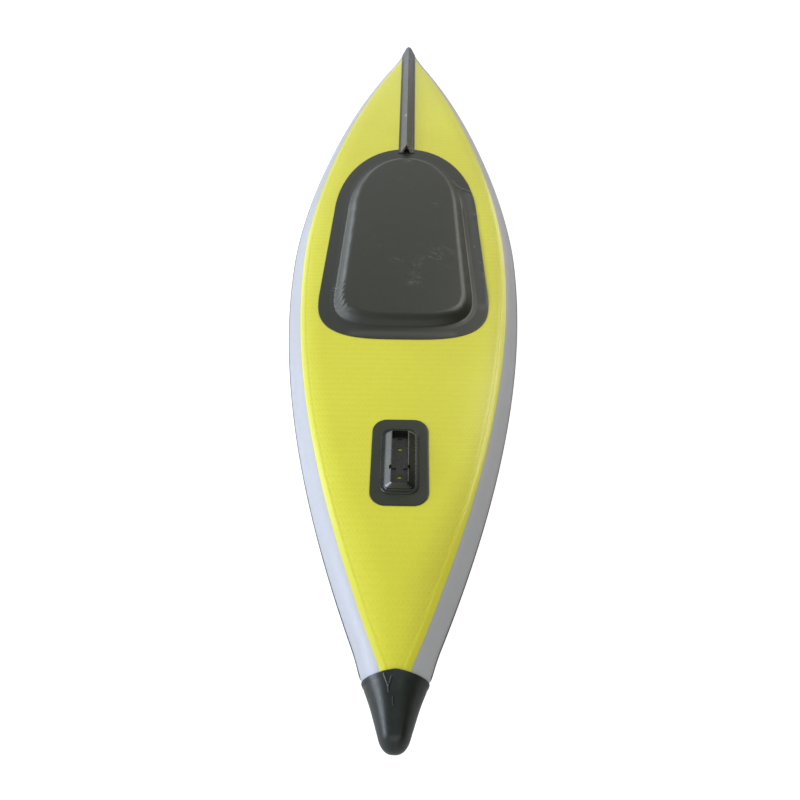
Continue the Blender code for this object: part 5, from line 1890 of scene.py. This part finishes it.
@dataclass
class Pad:
    """A sewn pad: a full body, drawn-in sides, channels across it and piping round it."""

    width: float = 0.350
    length: float = 0.370
    thickness: float = 0.045
    channels: int = 4
    shrink: float = 0.985
    piping: float = 0.0028
    dip: Spot = (0.0070, 0.0065)
    seam: Spot = (0.0016, 0.0018)
    cell: float = 0.006
    pressure: float = 4.0
    across: int = 44
    along: int = 48

    def body(self, place: Array) -> Mesh:
        """The pad before it is filled, with its flat face up.

        Args:
            place: the middle of the flat face, in the model's frame.

        Returns:
            The mesh.
        """
        u = np.linspace(-1.0, 1.0, self.across + 1)[None, :]
        v = np.linspace(-1.0, 1.0, self.along + 1)[:, None]
        x = self.width / 2 * self.shrink * u * (1 - 0.030 * (1 - v * v) * np.abs(u) ** 6)
        y = self.length / 2 * self.shrink * v * (1 - 0.020 * (1 - u * u) * np.abs(v) ** 6)
        x, y = x * np.sqrt(1 - 0.20 * v**4 * u**2), y * np.sqrt(1 - 0.20 * u**4 * v**2)
        rim = np.clip((1 - np.abs(u) ** 6) * (1 - np.abs(v) ** 6), 0.0, 1.0)
        deep = self.thickness * (0.30 + 0.50 * rim**0.5 + 0.10 * (1 - u * u) * (1 - v * v))
        low = np.stack((x, y, -deep), -1) + place
        high = np.stack((x, y, -0.001 - 0.10 * self.thickness * (1 - rim**0.5)), -1) + place
        return sheet(high, low)

    def fill(self, piece: Piece, cap: float, frames: int = 20) -> None:
        """Fills the pad as air or foam would: remeshed, blown up as cloth, held to a cap.

        Args:
            piece: the pad.
            cap: how far a point may move.
            frames: how long it is blown up.
        """
        grid = piece.modifiers.new("grid", "REMESH")
        grid.mode = "VOXEL"
        grid.voxel_size = self.cell
        settle(piece)
        start = places_of(piece.data)
        cloth = piece.modifiers.new("fill", "CLOTH")
        settings = cloth.settings
        settings.use_pressure, settings.uniform_pressure_force = True, self.pressure
        settings.effector_weights.gravity = 0.0
        settings.quality = 4
        cloth.point_cache.frame_end = frames
        scene = bpy.context.scene
        for number in range(1, frames + 1):
            scene.frame_set(number)
        blown = piece.evaluated_get(bpy.context.evaluated_depsgraph_get())
        moved = places_of(blown.to_mesh()) - start
        blown.to_mesh_clear()
        piece.modifiers.clear()
        scene.frame_set(1)
        reach = np.linalg.norm(moved, axis=1, keepdims=True)
        move_points(piece.data, start + moved * np.minimum(1.0, cap / np.maximum(reach, 1e-9)))
        fine = piece.modifiers.new("fine", "SUBSURF")
        fine.levels = fine.render_levels = 1
        settle(piece)

    def sew(self, piece: Piece, place: Array) -> None:
        """Draws the sewn channels in and keeps the pad in its own space.

        Args:
            piece: the filled pad.
            place: the middle of its flat face.
        """
        points = places_of(piece.data) - place
        face = smooth(-points[:, 2], self.thickness * 0.45, self.thickness * 0.75)
        inside = smooth(self.width / 2 - np.abs(points[:, 0]), 0.006, 0.030)
        for k in range(1, self.channels):
            line = self.length * (k / self.channels - 0.5)
            gap = np.abs(points[:, 1] - line)
            for depth, width in (self.dip, self.seam):
                points[:, 2] += depth * np.exp(-((gap / width) ** 2)) * face * inside
        points[:, 2] += noise_at(points * (60.0, 14.0, 14.0), 1.0) * 0.0005 * inside * face
        points[:, 2] = np.clip(points[:, 2], -self.thickness - 0.001, -0.0004)
        move_points(piece.data, points + place)

    def edge(self, piece: Piece, place: Array) -> Mesh:
        """The piping along the widest line of the filled pad.

        Args:
            piece: the filled pad.
            place: the middle of its flat face.

        Returns:
            The mesh.
        """
        points = places_of(piece.data) - place
        turn = np.arctan2(points[:, 1] / self.length, points[:, 0] / self.width)
        reach = np.hypot(points[:, 0], points[:, 1])
        path = []
        for middle in np.linspace(-math.pi, math.pi, 96, endpoint=False):
            near = np.abs((turn - middle + math.pi) % TAU - math.pi) < 0.05
            path.append(points[near][np.argmax(reach[near])])
        path = np.array(path)
        path[:, 2] = np.median(path[:, 2])
        for _ in range(2):
            path = (np.roll(path, 1, axis=0) + path + np.roll(path, -1, axis=0)) / 3.0
        return rod(path + place, np.cross(ways(path, True), UP), UP, self.piping, 10, closed=True)


@dataclass
class Seat:
    """The seat on the floor of the well, with its backrest folded down on it."""

    rear: float = 1.410
    floor: float = 0.0287
    base: Pad = field(default_factory=Pad)
    back: Pad = field(default_factory=lambda: Pad(length=0.360, thickness=0.040))
    play: float = 0.0006

    def build_pad(self, name: str, pad: Pad, place: Array, body: str, node: str) -> None:
        """Builds one pad with its piping.

        Args:
            name: the pad's name.
            pad: its sizes.
            place: the middle of its flat face.
            body: the body that carries it.
            node: the solid that it replaces.
        """
        piece = put(name, pad.body(place), SEAT_CLOTH, body, node, crease=80)
        pad.fill(piece, 0.006)
        pad.sew(piece, place)
        piece.data.materials.clear()
        piece.data.materials.append(SEAT_CLOTH.material())
        piece.data.shade_smooth()
        put(f"{name}_piping", pad.edge(piece, place), WEBBING, body)

    def build(self) -> None:
        """Builds the seat cushion and the backrest."""
        seat_at = ROW + (0.0, self.rear + self.base.length / 2, self.floor)
        self.build_pad("seat_pad", self.base, seat_at, "hull", "seat_cushion")
        back_z = self.floor - self.base.thickness - self.play
        back_at = ROW + (0.0, self.rear + self.back.length / 2, back_z)
        self.build_pad("back_pad", self.back, back_at, "backrest", "seat_backrest")


@dataclass
class FootRest:
    """An inflated roll with gathered ends, on two hook strips."""

    y: float = 2.080
    radius: float = 0.044
    width: float = 0.250
    floor: float = 0.0287
    strip_wall: float = 0.002
    steps: int = 72

    def build(self) -> None:
        """Builds the roll and dresses its strips."""
        middle = ROW + (0.0, self.y, self.floor - self.strip_wall - GAP - self.radius)
        turns = np.arange(self.steps) * TAU / self.steps
        rings = []
        end = np.linspace(0.80, 1.0, 12)
        for s in np.concatenate((-end[::-1], np.linspace(-0.77, 0.77, 22), end)):
            inner = np.clip((abs(s) - 0.80) / 0.20, 0.0, 1.0)
            fold = 1.0 + 0.045 * inner * np.cos(turns * 14.0) * math.sin(min(inner, 0.95) * math.pi)
            size = self.radius * max(math.sqrt(max(0.0, 1.0 - inner**2.4)), 0.10) * fold
            waist = 1.0 - 0.010 * math.cos(math.pi * s) ** 2
            x = np.full(self.steps, self.width / 2 * s * 0.985)
            rings.append(np.column_stack((x, circle(self.steps) * (size * waist)[:, None])) + middle)
        roll = put("foot_roll_cover", loft(rings), ROLL_CLOTH, "foot_roll", "foot_rest", crease=70)
        for side in Side:
            dress(f"{side.word}_foot_rest_strip", HOOK)


# Fittings on the deck


@dataclass
class AirValve:
    """The air valve: its knurled cap over the solids of the body and the plunger."""

    y: float = 1.020
    face: float = -0.0033
    ring_wall: float = 0.0016
    cap_radius: float = 0.0245
    cap_top: float = 0.004
    bore: float = 0.0165
    clearance: float = 0.0004
    skirt_wall: float = 0.002
    skirt_depth: float = 0.007
    grip: Spot = (0.005, 0.005)
    ribs: int = 48
    knurl: float = 0.022
    spring_radius: float = 0.0036
    spring_wire: float = 0.0004
    spring_turns: int = 4

    def build(self) -> None:
        """Builds the cap and dresses the rest."""
        place = ROW + (0.0, self.y, -FORM.thickness)
        under = self.face - GAP - self.ring_wall - GAP
        top, skirt = under - self.cap_top, self.bore - self.clearance
        inner, foot, edge = skirt - self.skirt_wall, under + self.skirt_depth, self.cap_radius
        profile = [(0.0, top), (edge * 0.55, top), (edge - 0.0020, top + 0.0001),
                   (edge - 0.0008, top + 0.0006), (edge, top + 0.0016), (edge, under - 0.0004),
                   (edge - 0.0004, under), (skirt, under), (skirt, foot), (inner, foot), (inner, under),
                   (0.0, under)]
        steps = self.ribs * 4
        wave = 0.5 + 0.5 * np.cos(np.arange(steps) * TAU / steps * self.ribs)
        rings = []
        for i, (r, z) in enumerate(profile):
            knurl = 1.0 - self.knurl * wave * (3 <= i <= 6)
            rings.append(level(circle(steps) * (max(r, 1e-5) * knurl)[:, None], z, place))
        length, width = 2 * (edge - 0.006), self.grip[1]
        bar = rounded_rectangle(length, width, width * 0.48, 6)
        slim = rounded_rectangle(length - 0.0014, width - 0.0014, width * 0.33, 6)
        tip = top - self.grip[0]
        layers = ((slim, tip), (bar, tip + 0.0008), (bar, top + 0.001))
        bar = loft([level(outline, z, place) for outline, z in layers])
        cap = carve(loft(rings), [(Work.JOIN, bar)])
        put("valve_cap_cover", cap, CHARCOAL_PLASTIC, "valve_lid", "valve_cap", crease=38)
        dress("valve_body", CHARCOAL_PLASTIC)
        dress("valve_nut", CHARCOAL_PLASTIC)
        dress("valve_plunger", PALE_PLASTIC)
        dress("valve_seal", SEAL)
        dress("valve_cap_ring", RING_RUBBER)
        self.build_spring(place)

    def build_spring(self, place: Array) -> None:
        """The coil spring, which shortens as the pin is pressed.

        Args:
            place: the valve's middle on the deck.
        """
        low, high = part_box("valve_spring")
        base = np.array((place[0], place[1], low[2] + self.spring_wire))
        share = np.linspace(0.0, 1.0, self.spring_turns * 24 + 1)
        turn = share * self.spring_turns * TAU
        rise = (high[2] - low[2] - 2 * self.spring_wire) * share
        out = np.column_stack((np.cos(turn), np.sin(turn), np.zeros(share.size)))
        wire = rod(base + out * self.spring_radius + np.outer(rise, UP), out, UP, self.spring_wire, 10)
        coil = put("valve_coil", wire, SPRING_STEEL, node="valve_spring", crease=60)
        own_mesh(coil)


@dataclass
class TieRing:
    """A steel D-ring that hangs in a sewn webbing loop on a round patch."""

    name: str
    x: float
    y: float
    radius: float = 0.032
    rod: float = 0.0020
    half: float = 0.0135
    leg: float = 0.006
    play: float = 0.0006
    web_wall: float = 0.0015
    web_half: float = 0.010
    tail: float = 0.019
    sewn: Size = (0.0080, 0.0070, 0.0175)

    def build(self) -> None:
        """Builds the patch, the loop with its stitching, and the ring."""
        drop = -FORM.thickness - float(FORM.rocker(np.array(self.y)))
        deck = ROW + (self.x, self.y, drop)
        low, radius = -GAP - PATCH_WALL, self.radius
        profile = [(0.0, low), (radius * 0.6, low), (radius - 0.0012, low), (radius - 0.0003, low + 0.0005),
                   (radius, low + 0.0012), (radius, -GAP), (0.0, -GAP)]
        disc = lathe(profile, 96)
        disc.transform(Matrix.Translation(Vector(deck)))
        put(f"{self.name}_patch_disc", disc, TIE_PATCH, node=f"{self.name}_d_ring_patch", crease=45)
        axis = PATCH_WALL + GAP + self.rod + self.play
        self.build_loop(deck, low, axis)
        path = np.array([(x, 0.0, z - axis) for x, z in self.bent()]) + deck
        ring = upright_rod(path, self.rod, 16, closed=True)
        put(f"{self.name}_steel_ring", ring, RING_STEEL, f"{self.name}_ring", f"{self.name}_d_ring",
            crease=60)

    def build_loop(self, deck: Array, low: float, axis: float) -> None:
        """Builds the webbing loop and its stitching.

        Args:
            deck: the spot on the deck under which the ring hangs.
            low: the patch's lower face.
            axis: how far under the deck the ring turns.
        """
        inner = self.rod + self.play
        outer, flat, foot, tail = inner + self.web_wall, low - 0.0011, low + 0.0002, self.tail
        arc = np.linspace(0.0, math.pi, 17)
        path = [(tail, foot), (tail, flat), (outer + 0.0012, flat)]
        path += [(outer * math.cos(a), -axis - outer * math.sin(a)) for a in arc]
        path += [(-outer - 0.0012, flat), (-tail, flat), (-tail, foot), (-inner, foot)]
        path += [(inner * math.cos(a), -axis - inner * math.sin(a)) for a in arc[::-1]] + [(inner, foot)]
        rings = [np.array([(x, y, z) for y, z in path]) + deck
                 for x in np.linspace(-self.web_half, self.web_half, 5)]
        put(f"{self.name}_web_loop", loft(rings), WEBBING, crease=60)
        lines = []
        for way in (-1.0, 1.0):
            c, a, b = np.array(self.sewn) * (1.0, way, way)
            lines += [((-c, a), (c, a)), ((-c, b), (c, b)), ((-c, a), (-c, b)), ((c, a), (c, b)),
                      ((-c, a), (c, b)), ((c, a), (-c, b))]
        put(f"{self.name}_stitching", stitches(lines, deck + (0.0, 0.0, flat)), THREAD, crease=60)

    def bent(self) -> list[Spot]:
        """The ring's line: a bar on top, two soft corners and a round bow below.

        Returns:
            Its points as x and z.
        """
        half, soft = self.half, self.half * 0.352
        quarter = np.linspace(math.pi / 2, 0.0, 7)[1:]
        corner = [(half - soft + soft * math.cos(a), -soft * (1 - math.sin(a))) for a in quarter]
        bow = [(half * math.cos(a), -self.leg - half * math.sin(a)) for a in np.linspace(0.0, math.pi, 33)]
        bar = [(x, 0.0) for x in np.linspace(-half + soft, half - soft, 7)]
        return bar + corner + bow + [(-x, z) for x, z in reversed(corner)]


def stitches(lines: Sequence[tuple[Spot, Spot]], place: Array) -> Mesh:
    """Thread stitches along straight lines on a level face that looks down.

    Args:
        lines: start and end of each line as x and y.
        place: where their zero is.

    Returns:
        The mesh.
    """
    pitch, length, size = 0.0032, 0.0022, 0.00035
    points, faces = [], []
    for start, stop in lines:
        a, b = np.array(start), np.array(stop)
        run = np.linalg.norm(b - a)
        way = (b - a) / run
        side = np.array((-way[1], way[0]))
        count = max(1, int(run / pitch))
        for k in range(count):
            middle = a + way * (k + 0.5) * run / count
            first = len(points)
            for share, swell in ((-0.5, 0.25), (-0.28, 0.9), (0.0, 1.0), (0.28, 0.9), (0.5, 0.25)):
                centre = middle + way * share * length
                for across, up in circle(6):
                    flat = centre + side * size * swell * across
                    points.append((*flat, -size * swell * (0.35 + up)))
            faces += quads(5, 6, first, wrap=True)
            faces += [tuple(range(first, first + 6)), tuple(range(first + 24, first + 30))]
    return make_mesh(np.array(points) + place, faces)


@dataclass
class CarryHandle:
    """A bail with a ribbed grip that swings in two lugs on an anchor plate."""

    name: str
    y: float
    half: float = 0.060
    drop: float = 0.036
    corner: float = 0.014
    shoulder: float = 0.006
    rod: float = 0.0030
    play: float = 0.0004
    pin: float = 0.016
    grip_radius: float = 0.010
    grip_half: float = 0.040
    ribs: int = 13
    lug_width: float = 0.009
    lug_reach: float = 0.012
    lug_length: float = 0.014
    anchor_length: float = 0.042
    margin: float = 0.014

    def build(self) -> None:
        """Builds the anchor, the bail and the grip where their solids are."""
        low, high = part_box(f"{self.name}_handle_grip")
        axis = np.array((low + high) / 2) + (0.0, 0.0, self.drop)
        turns = np.linspace(0.0, math.pi / 2, 9)
        path = [(self.half + self.pin, 0.0), (self.half + self.pin * 0.5, 0.0)]
        path += [(self.half + self.shoulder * (1 - math.sin(a)), self.shoulder * (math.cos(a) - 1))
                 for a in turns]
        path += [(self.half - self.corner * (1 - math.cos(a)), self.corner * (1 - math.sin(a)) - self.drop)
                 for a in turns]
        path += [(-x, z) for x, z in reversed(path)]
        bail = upright_rod(np.array([(x, 0.0, z) for x, z in path]) + axis, self.rod, 18)
        body = f"{self.name}_handle"
        put(f"{self.name}_carry_bail", bail, CHARCOAL_PLASTIC, body, f"{self.name}_handle_bail", crease=60)
        self.build_grip(axis, body)
        self.build_anchor(axis)

    def build_grip(self, axis: Array, body: str) -> None:
        """Builds the ribbed rubber grip.

        Args:
            axis: the middle of the pins' line.
            body: the body that swings.
        """
        bore, half, radius = self.rod + self.play, self.grip_half, self.grip_radius
        start = [(bore, -half), (radius * 0.80, -half), (radius * 0.95, -half * 0.985),
                 (radius, -half * 0.95)]
        reach = half * 0.88 / self.ribs
        profile = start[:]
        for middle in reach * (2 * np.arange(self.ribs) + 1 - self.ribs):
            profile += [(radius - depth, middle + reach * share)
                        for depth, share in ((0.0, -0.62), (0.0007, -0.45), (0.0007, 0.45), (0.0, 0.62))]
        profile += [(r, -x) for r, x in reversed(start)]
        grip = lathe(profile, 48)
        move_points(grip, places_of(grip)[:, ::-1] + axis - (0.0, 0.0, self.drop))
        grip.flip_normals()
        put(f"{self.name}_soft_grip", grip, GRIP_RUBBER, body, f"{self.name}_handle_grip", crease=40)

    def build_anchor(self, axis: Array) -> None:
        """Builds the plate and its two lugs, leaning as the deck leans there.

        Args:
            axis: the middle of the pins' line.
        """
        step = self.anchor_length / 2
        spots = FORM.point(np.array((self.y - step, self.y + step)), np.array((3.0, 3.0)))
        lean = math.atan2(spots[1, 2] - spots[0, 2], self.anchor_length)
        reach = PATCH_WALL + GAP + self.lug_reach / 2 + 0.001
        off = np.array((0.0, math.sin(lean), -math.cos(lean)))
        deck = axis - reach * off
        width, length = 2 * (self.half + self.pin + self.margin), self.anchor_length
        layers = []
        for less, z in ((0.0012, 0.0), (0.0004, 0.0004), (0.0, 0.0010), (0.0, PATCH_WALL)):
            outline = rounded_rectangle(width - 2 * less, length - 2 * less, length * 0.45 - less, 12)
            layers.append(level(outline, z - PATCH_WALL - GAP))
        top, low, half = -GAP - PATCH_WALL / 2, -reach - self.lug_reach / 2, self.lug_length / 2
        lug = round_corners([(-half, top), (half, top), (half, low), (-half, low)], 0.0042, 6)
        bore = circle(24) * (self.rod + self.play) - (0.0, reach)
        tools = []
        for side in Side:
            middle = side.value * (self.half + self.pin - self.lug_width / 2)
            for work, outline, depth in ((Work.JOIN, lug, self.lug_width / 2), (Work.CUT, bore, 0.01)):
                rings = [np.array([(middle + s * depth, y, z) for y, z in outline]) for s in (-1.0, 1.0)]
                tools.append((work, loft(rings)))
        plate = carve(loft(layers), tools, soften=0.0004)
        c, s = math.cos(lean), math.sin(lean)
        turn = np.array(((1.0, 0.0, 0.0), (0.0, c, s), (0.0, -s, c)))
        move_points(plate, places_of(plate) @ turn + deck)
        put(f"{self.name}_anchor_plate", plate, ANCHOR_PLASTIC, node=f"{self.name}_handle_anchor", crease=40)


# The studio


@dataclass
class Studio:
    """Pale floor, soft lamps and the camera at the height of a standing person's eyes."""

    camera_at: Size = (0.0213, -2.2138, 1.8835)
    pitch: float = math.atan(830.0 / 700.0)
    turn: float = 0.0177
    focal: float = 31.5
    floor_half: float = 60.0
    left_glow: float = 0.80
    right_glow: float = 0.52
    low_glow: float = 1.25
    high_glow: float = 0.60
    floor_glow: float = 0.74

    def build_floor(self) -> None:
        """The floor: white to the camera, with the kayak's shadow, and clear from below."""
        h = self.floor_half
        corners = np.array(((-h, -h, 0), (h, -h, 0), (h, h, 0), (-h, h, 0))) - (0, 0, 0.0006)
        floor = add_object("floor", make_mesh(corners, [(0, 1, 2, 3)]))
        material = bpy.data.materials.new("studio floor")
        material.use_nodes = True
        nodes = Wiring(material.node_tree)
        nodes.tree.nodes.clear()
        path = nodes.node("LightPath").outputs
        ground = nodes.node("NewGeometry").outputs
        across, _, _ = nodes.split(ground["Position"])
        shine = nodes.times(path["Is Glossy Ray"], nodes.mapped(across, -0.45, 0.20, 0.40, 0.10))
        seen = nodes.most(path["Is Camera Ray"], nodes.most(shine, path["Is Transmission Ray"]))
        glow = nodes.made("Emission", (1.0, 1.0, 1.0), nodes.times(seen, self.floor_glow))
        lit = nodes.made("AddShader", nodes.made("BsdfDiffuse", (0.50, 0.50, 0.51)), glow)
        mix = nodes.made("MixShader", ground["Backfacing"], lit, nodes.made("BsdfTransparent"))
        nodes.feed(nodes.node("OutputMaterial"), Surface=mix)
        floor.data.materials.append(material)

    def build_world(self) -> None:
        """The room: white to the camera, and for the kayak a sky that is bright and cool at the left."""
        world = bpy.data.worlds.new("studio")
        bpy.context.scene.world = world
        world.use_nodes = True
        nodes = Wiring(world.node_tree)
        nodes.tree.nodes.clear()
        path = nodes.node("LightPath").outputs
        x, _, z = nodes.split(nodes.node("TexCoord").outputs["Generated"])
        left = nodes.mapped(x, 0.85, -0.85)
        colour = nodes.blend(left, (1.0, 0.95, 0.77), (0.86, 0.93, 1.06))
        seen = nodes.most(path["Is Camera Ray"], path["Is Transmission Ray"])
        strength = nodes.linear(left, self.left_glow - self.right_glow, self.right_glow)
        strength = nodes.times(strength, nodes.mapped(z, 0.20, 0.95, self.low_glow, self.high_glow))
        shade = nodes.times(path["Is Glossy Ray"], nodes.mapped(x, 0.0, 0.60, 0.0, 0.80))
        strength = nodes.most(nodes.times(strength, nodes.minus(1.0, shade)), seen)
        room = nodes.made("Background", nodes.blend(seen, colour, (1.0, 1.0, 1.0)), strength)
        nodes.feed(nodes.node("OutputWorld"), Surface=room)

    def lamp(self, name: str, place: Size, aim: Size, size: Spot, power: float, colour: Colour) -> None:
        """A soft box.

        Args:
            name: the lamp's name.
            place: where it hangs.
            aim: the point that it faces.
            size: its width and height.
            power: watts.
            colour: its colour.
        """
        data = bpy.data.lights.new(name, "AREA")
        data.shape = "RECTANGLE"
        data.size, data.size_y = size
        data.energy, data.color = power, colour
        lamp = add_object(name, data)
        lamp.location = place
        lamp.rotation_euler = (Vector(aim) - Vector(place)).to_track_quat("-Z", "Y").to_euler()

    def build_lamps(self) -> None:
        """Three panes of a window at the left, one box behind the camera, two at the right, one below."""
        self.lamp("window", (-3.9, 1.7, 2.3), (0.0, 1.7, 2.3), (9.5, 3.0), 188.0, (0.87, 0.93, 1.0))
        self.lamp("top pane", (-3.9, 1.4, 4.8), (0.0, 0.4, 1.2), (1.8, 2.0), 36.0, (0.94, 0.97, 1.0))
        self.lamp("low pane", (-3.0, -2.2, 1.0), (0.0, -1.7, 0.2), (2.4, 1.6), 66.0, (0.80, 0.88, 1.0))
        self.lamp("front", (1.4, -5.6, 3.4), (0.0, 0.0, 0.1), (6.0, 3.0), 55.0, (1.0, 0.99, 0.97))
        self.lamp("right", (2.4, 2.5, 4.5), (0.0, 0.3, 0.3), (3.0, 2.0), 80.0, (1.0, 0.98, 0.94))
        self.lamp("far right", (3.9, 5.4, 3.2), (0.0, 1.8, 0.3), (3.2, 3.0), 70.0, (1.0, 0.98, 0.94))
        self.lamp("under", (0.0, 0.0, -2.2), (0.0, 0.0, 0.0), (4.0, 4.0), 260.0, (1.0, 1.0, 1.0))

    def build_camera(self) -> None:
        """The camera where the eye was."""
        data = bpy.data.cameras.new("camera")
        data.lens, data.sensor_width = self.focal, 36.0
        camera = add_object("camera", data)
        camera.location = self.camera_at
        camera.rotation_euler = (math.pi / 2 - self.pitch, 0.0, self.turn)
        bpy.context.scene.camera = camera

    def build(self) -> None:
        """Builds the studio."""
        self.build_floor()
        self.build_world()
        self.build_lamps()
        self.build_camera()
        bpy.context.scene.view_settings.view_transform = "Standard"


def main() -> None:
    """Builds every sub-assembly of the kayak, then the studio."""
    logging.basicConfig(level=logging.INFO, format="%(name)s: %(message)s", stream=sys.stdout)
    HullShell().build()
    EndCap(End.STERN, 0.168, 0.013).build()
    EndCap(End.BOW, 0.075, 0.004, ridge=0.010).build()
    KeelStrip().build()
    Cockpit().build()
    FinBox().build()
    Seat().build()
    FootRest().build()
    AirValve().build()
    for row, x, y in (("rear", 0.160, 1.130), ("stern", 0.110, 0.700), ("front", 0.130, 2.640)):
        for side in Side:
            TieRing(f"{row}_{side.word}", side.value * x, y).build()
    CarryHandle("bow", 3.100).build()
    CarryHandle("stern", 0.420).build()
    Studio().build()


if __name__ == "__main__":
    main()
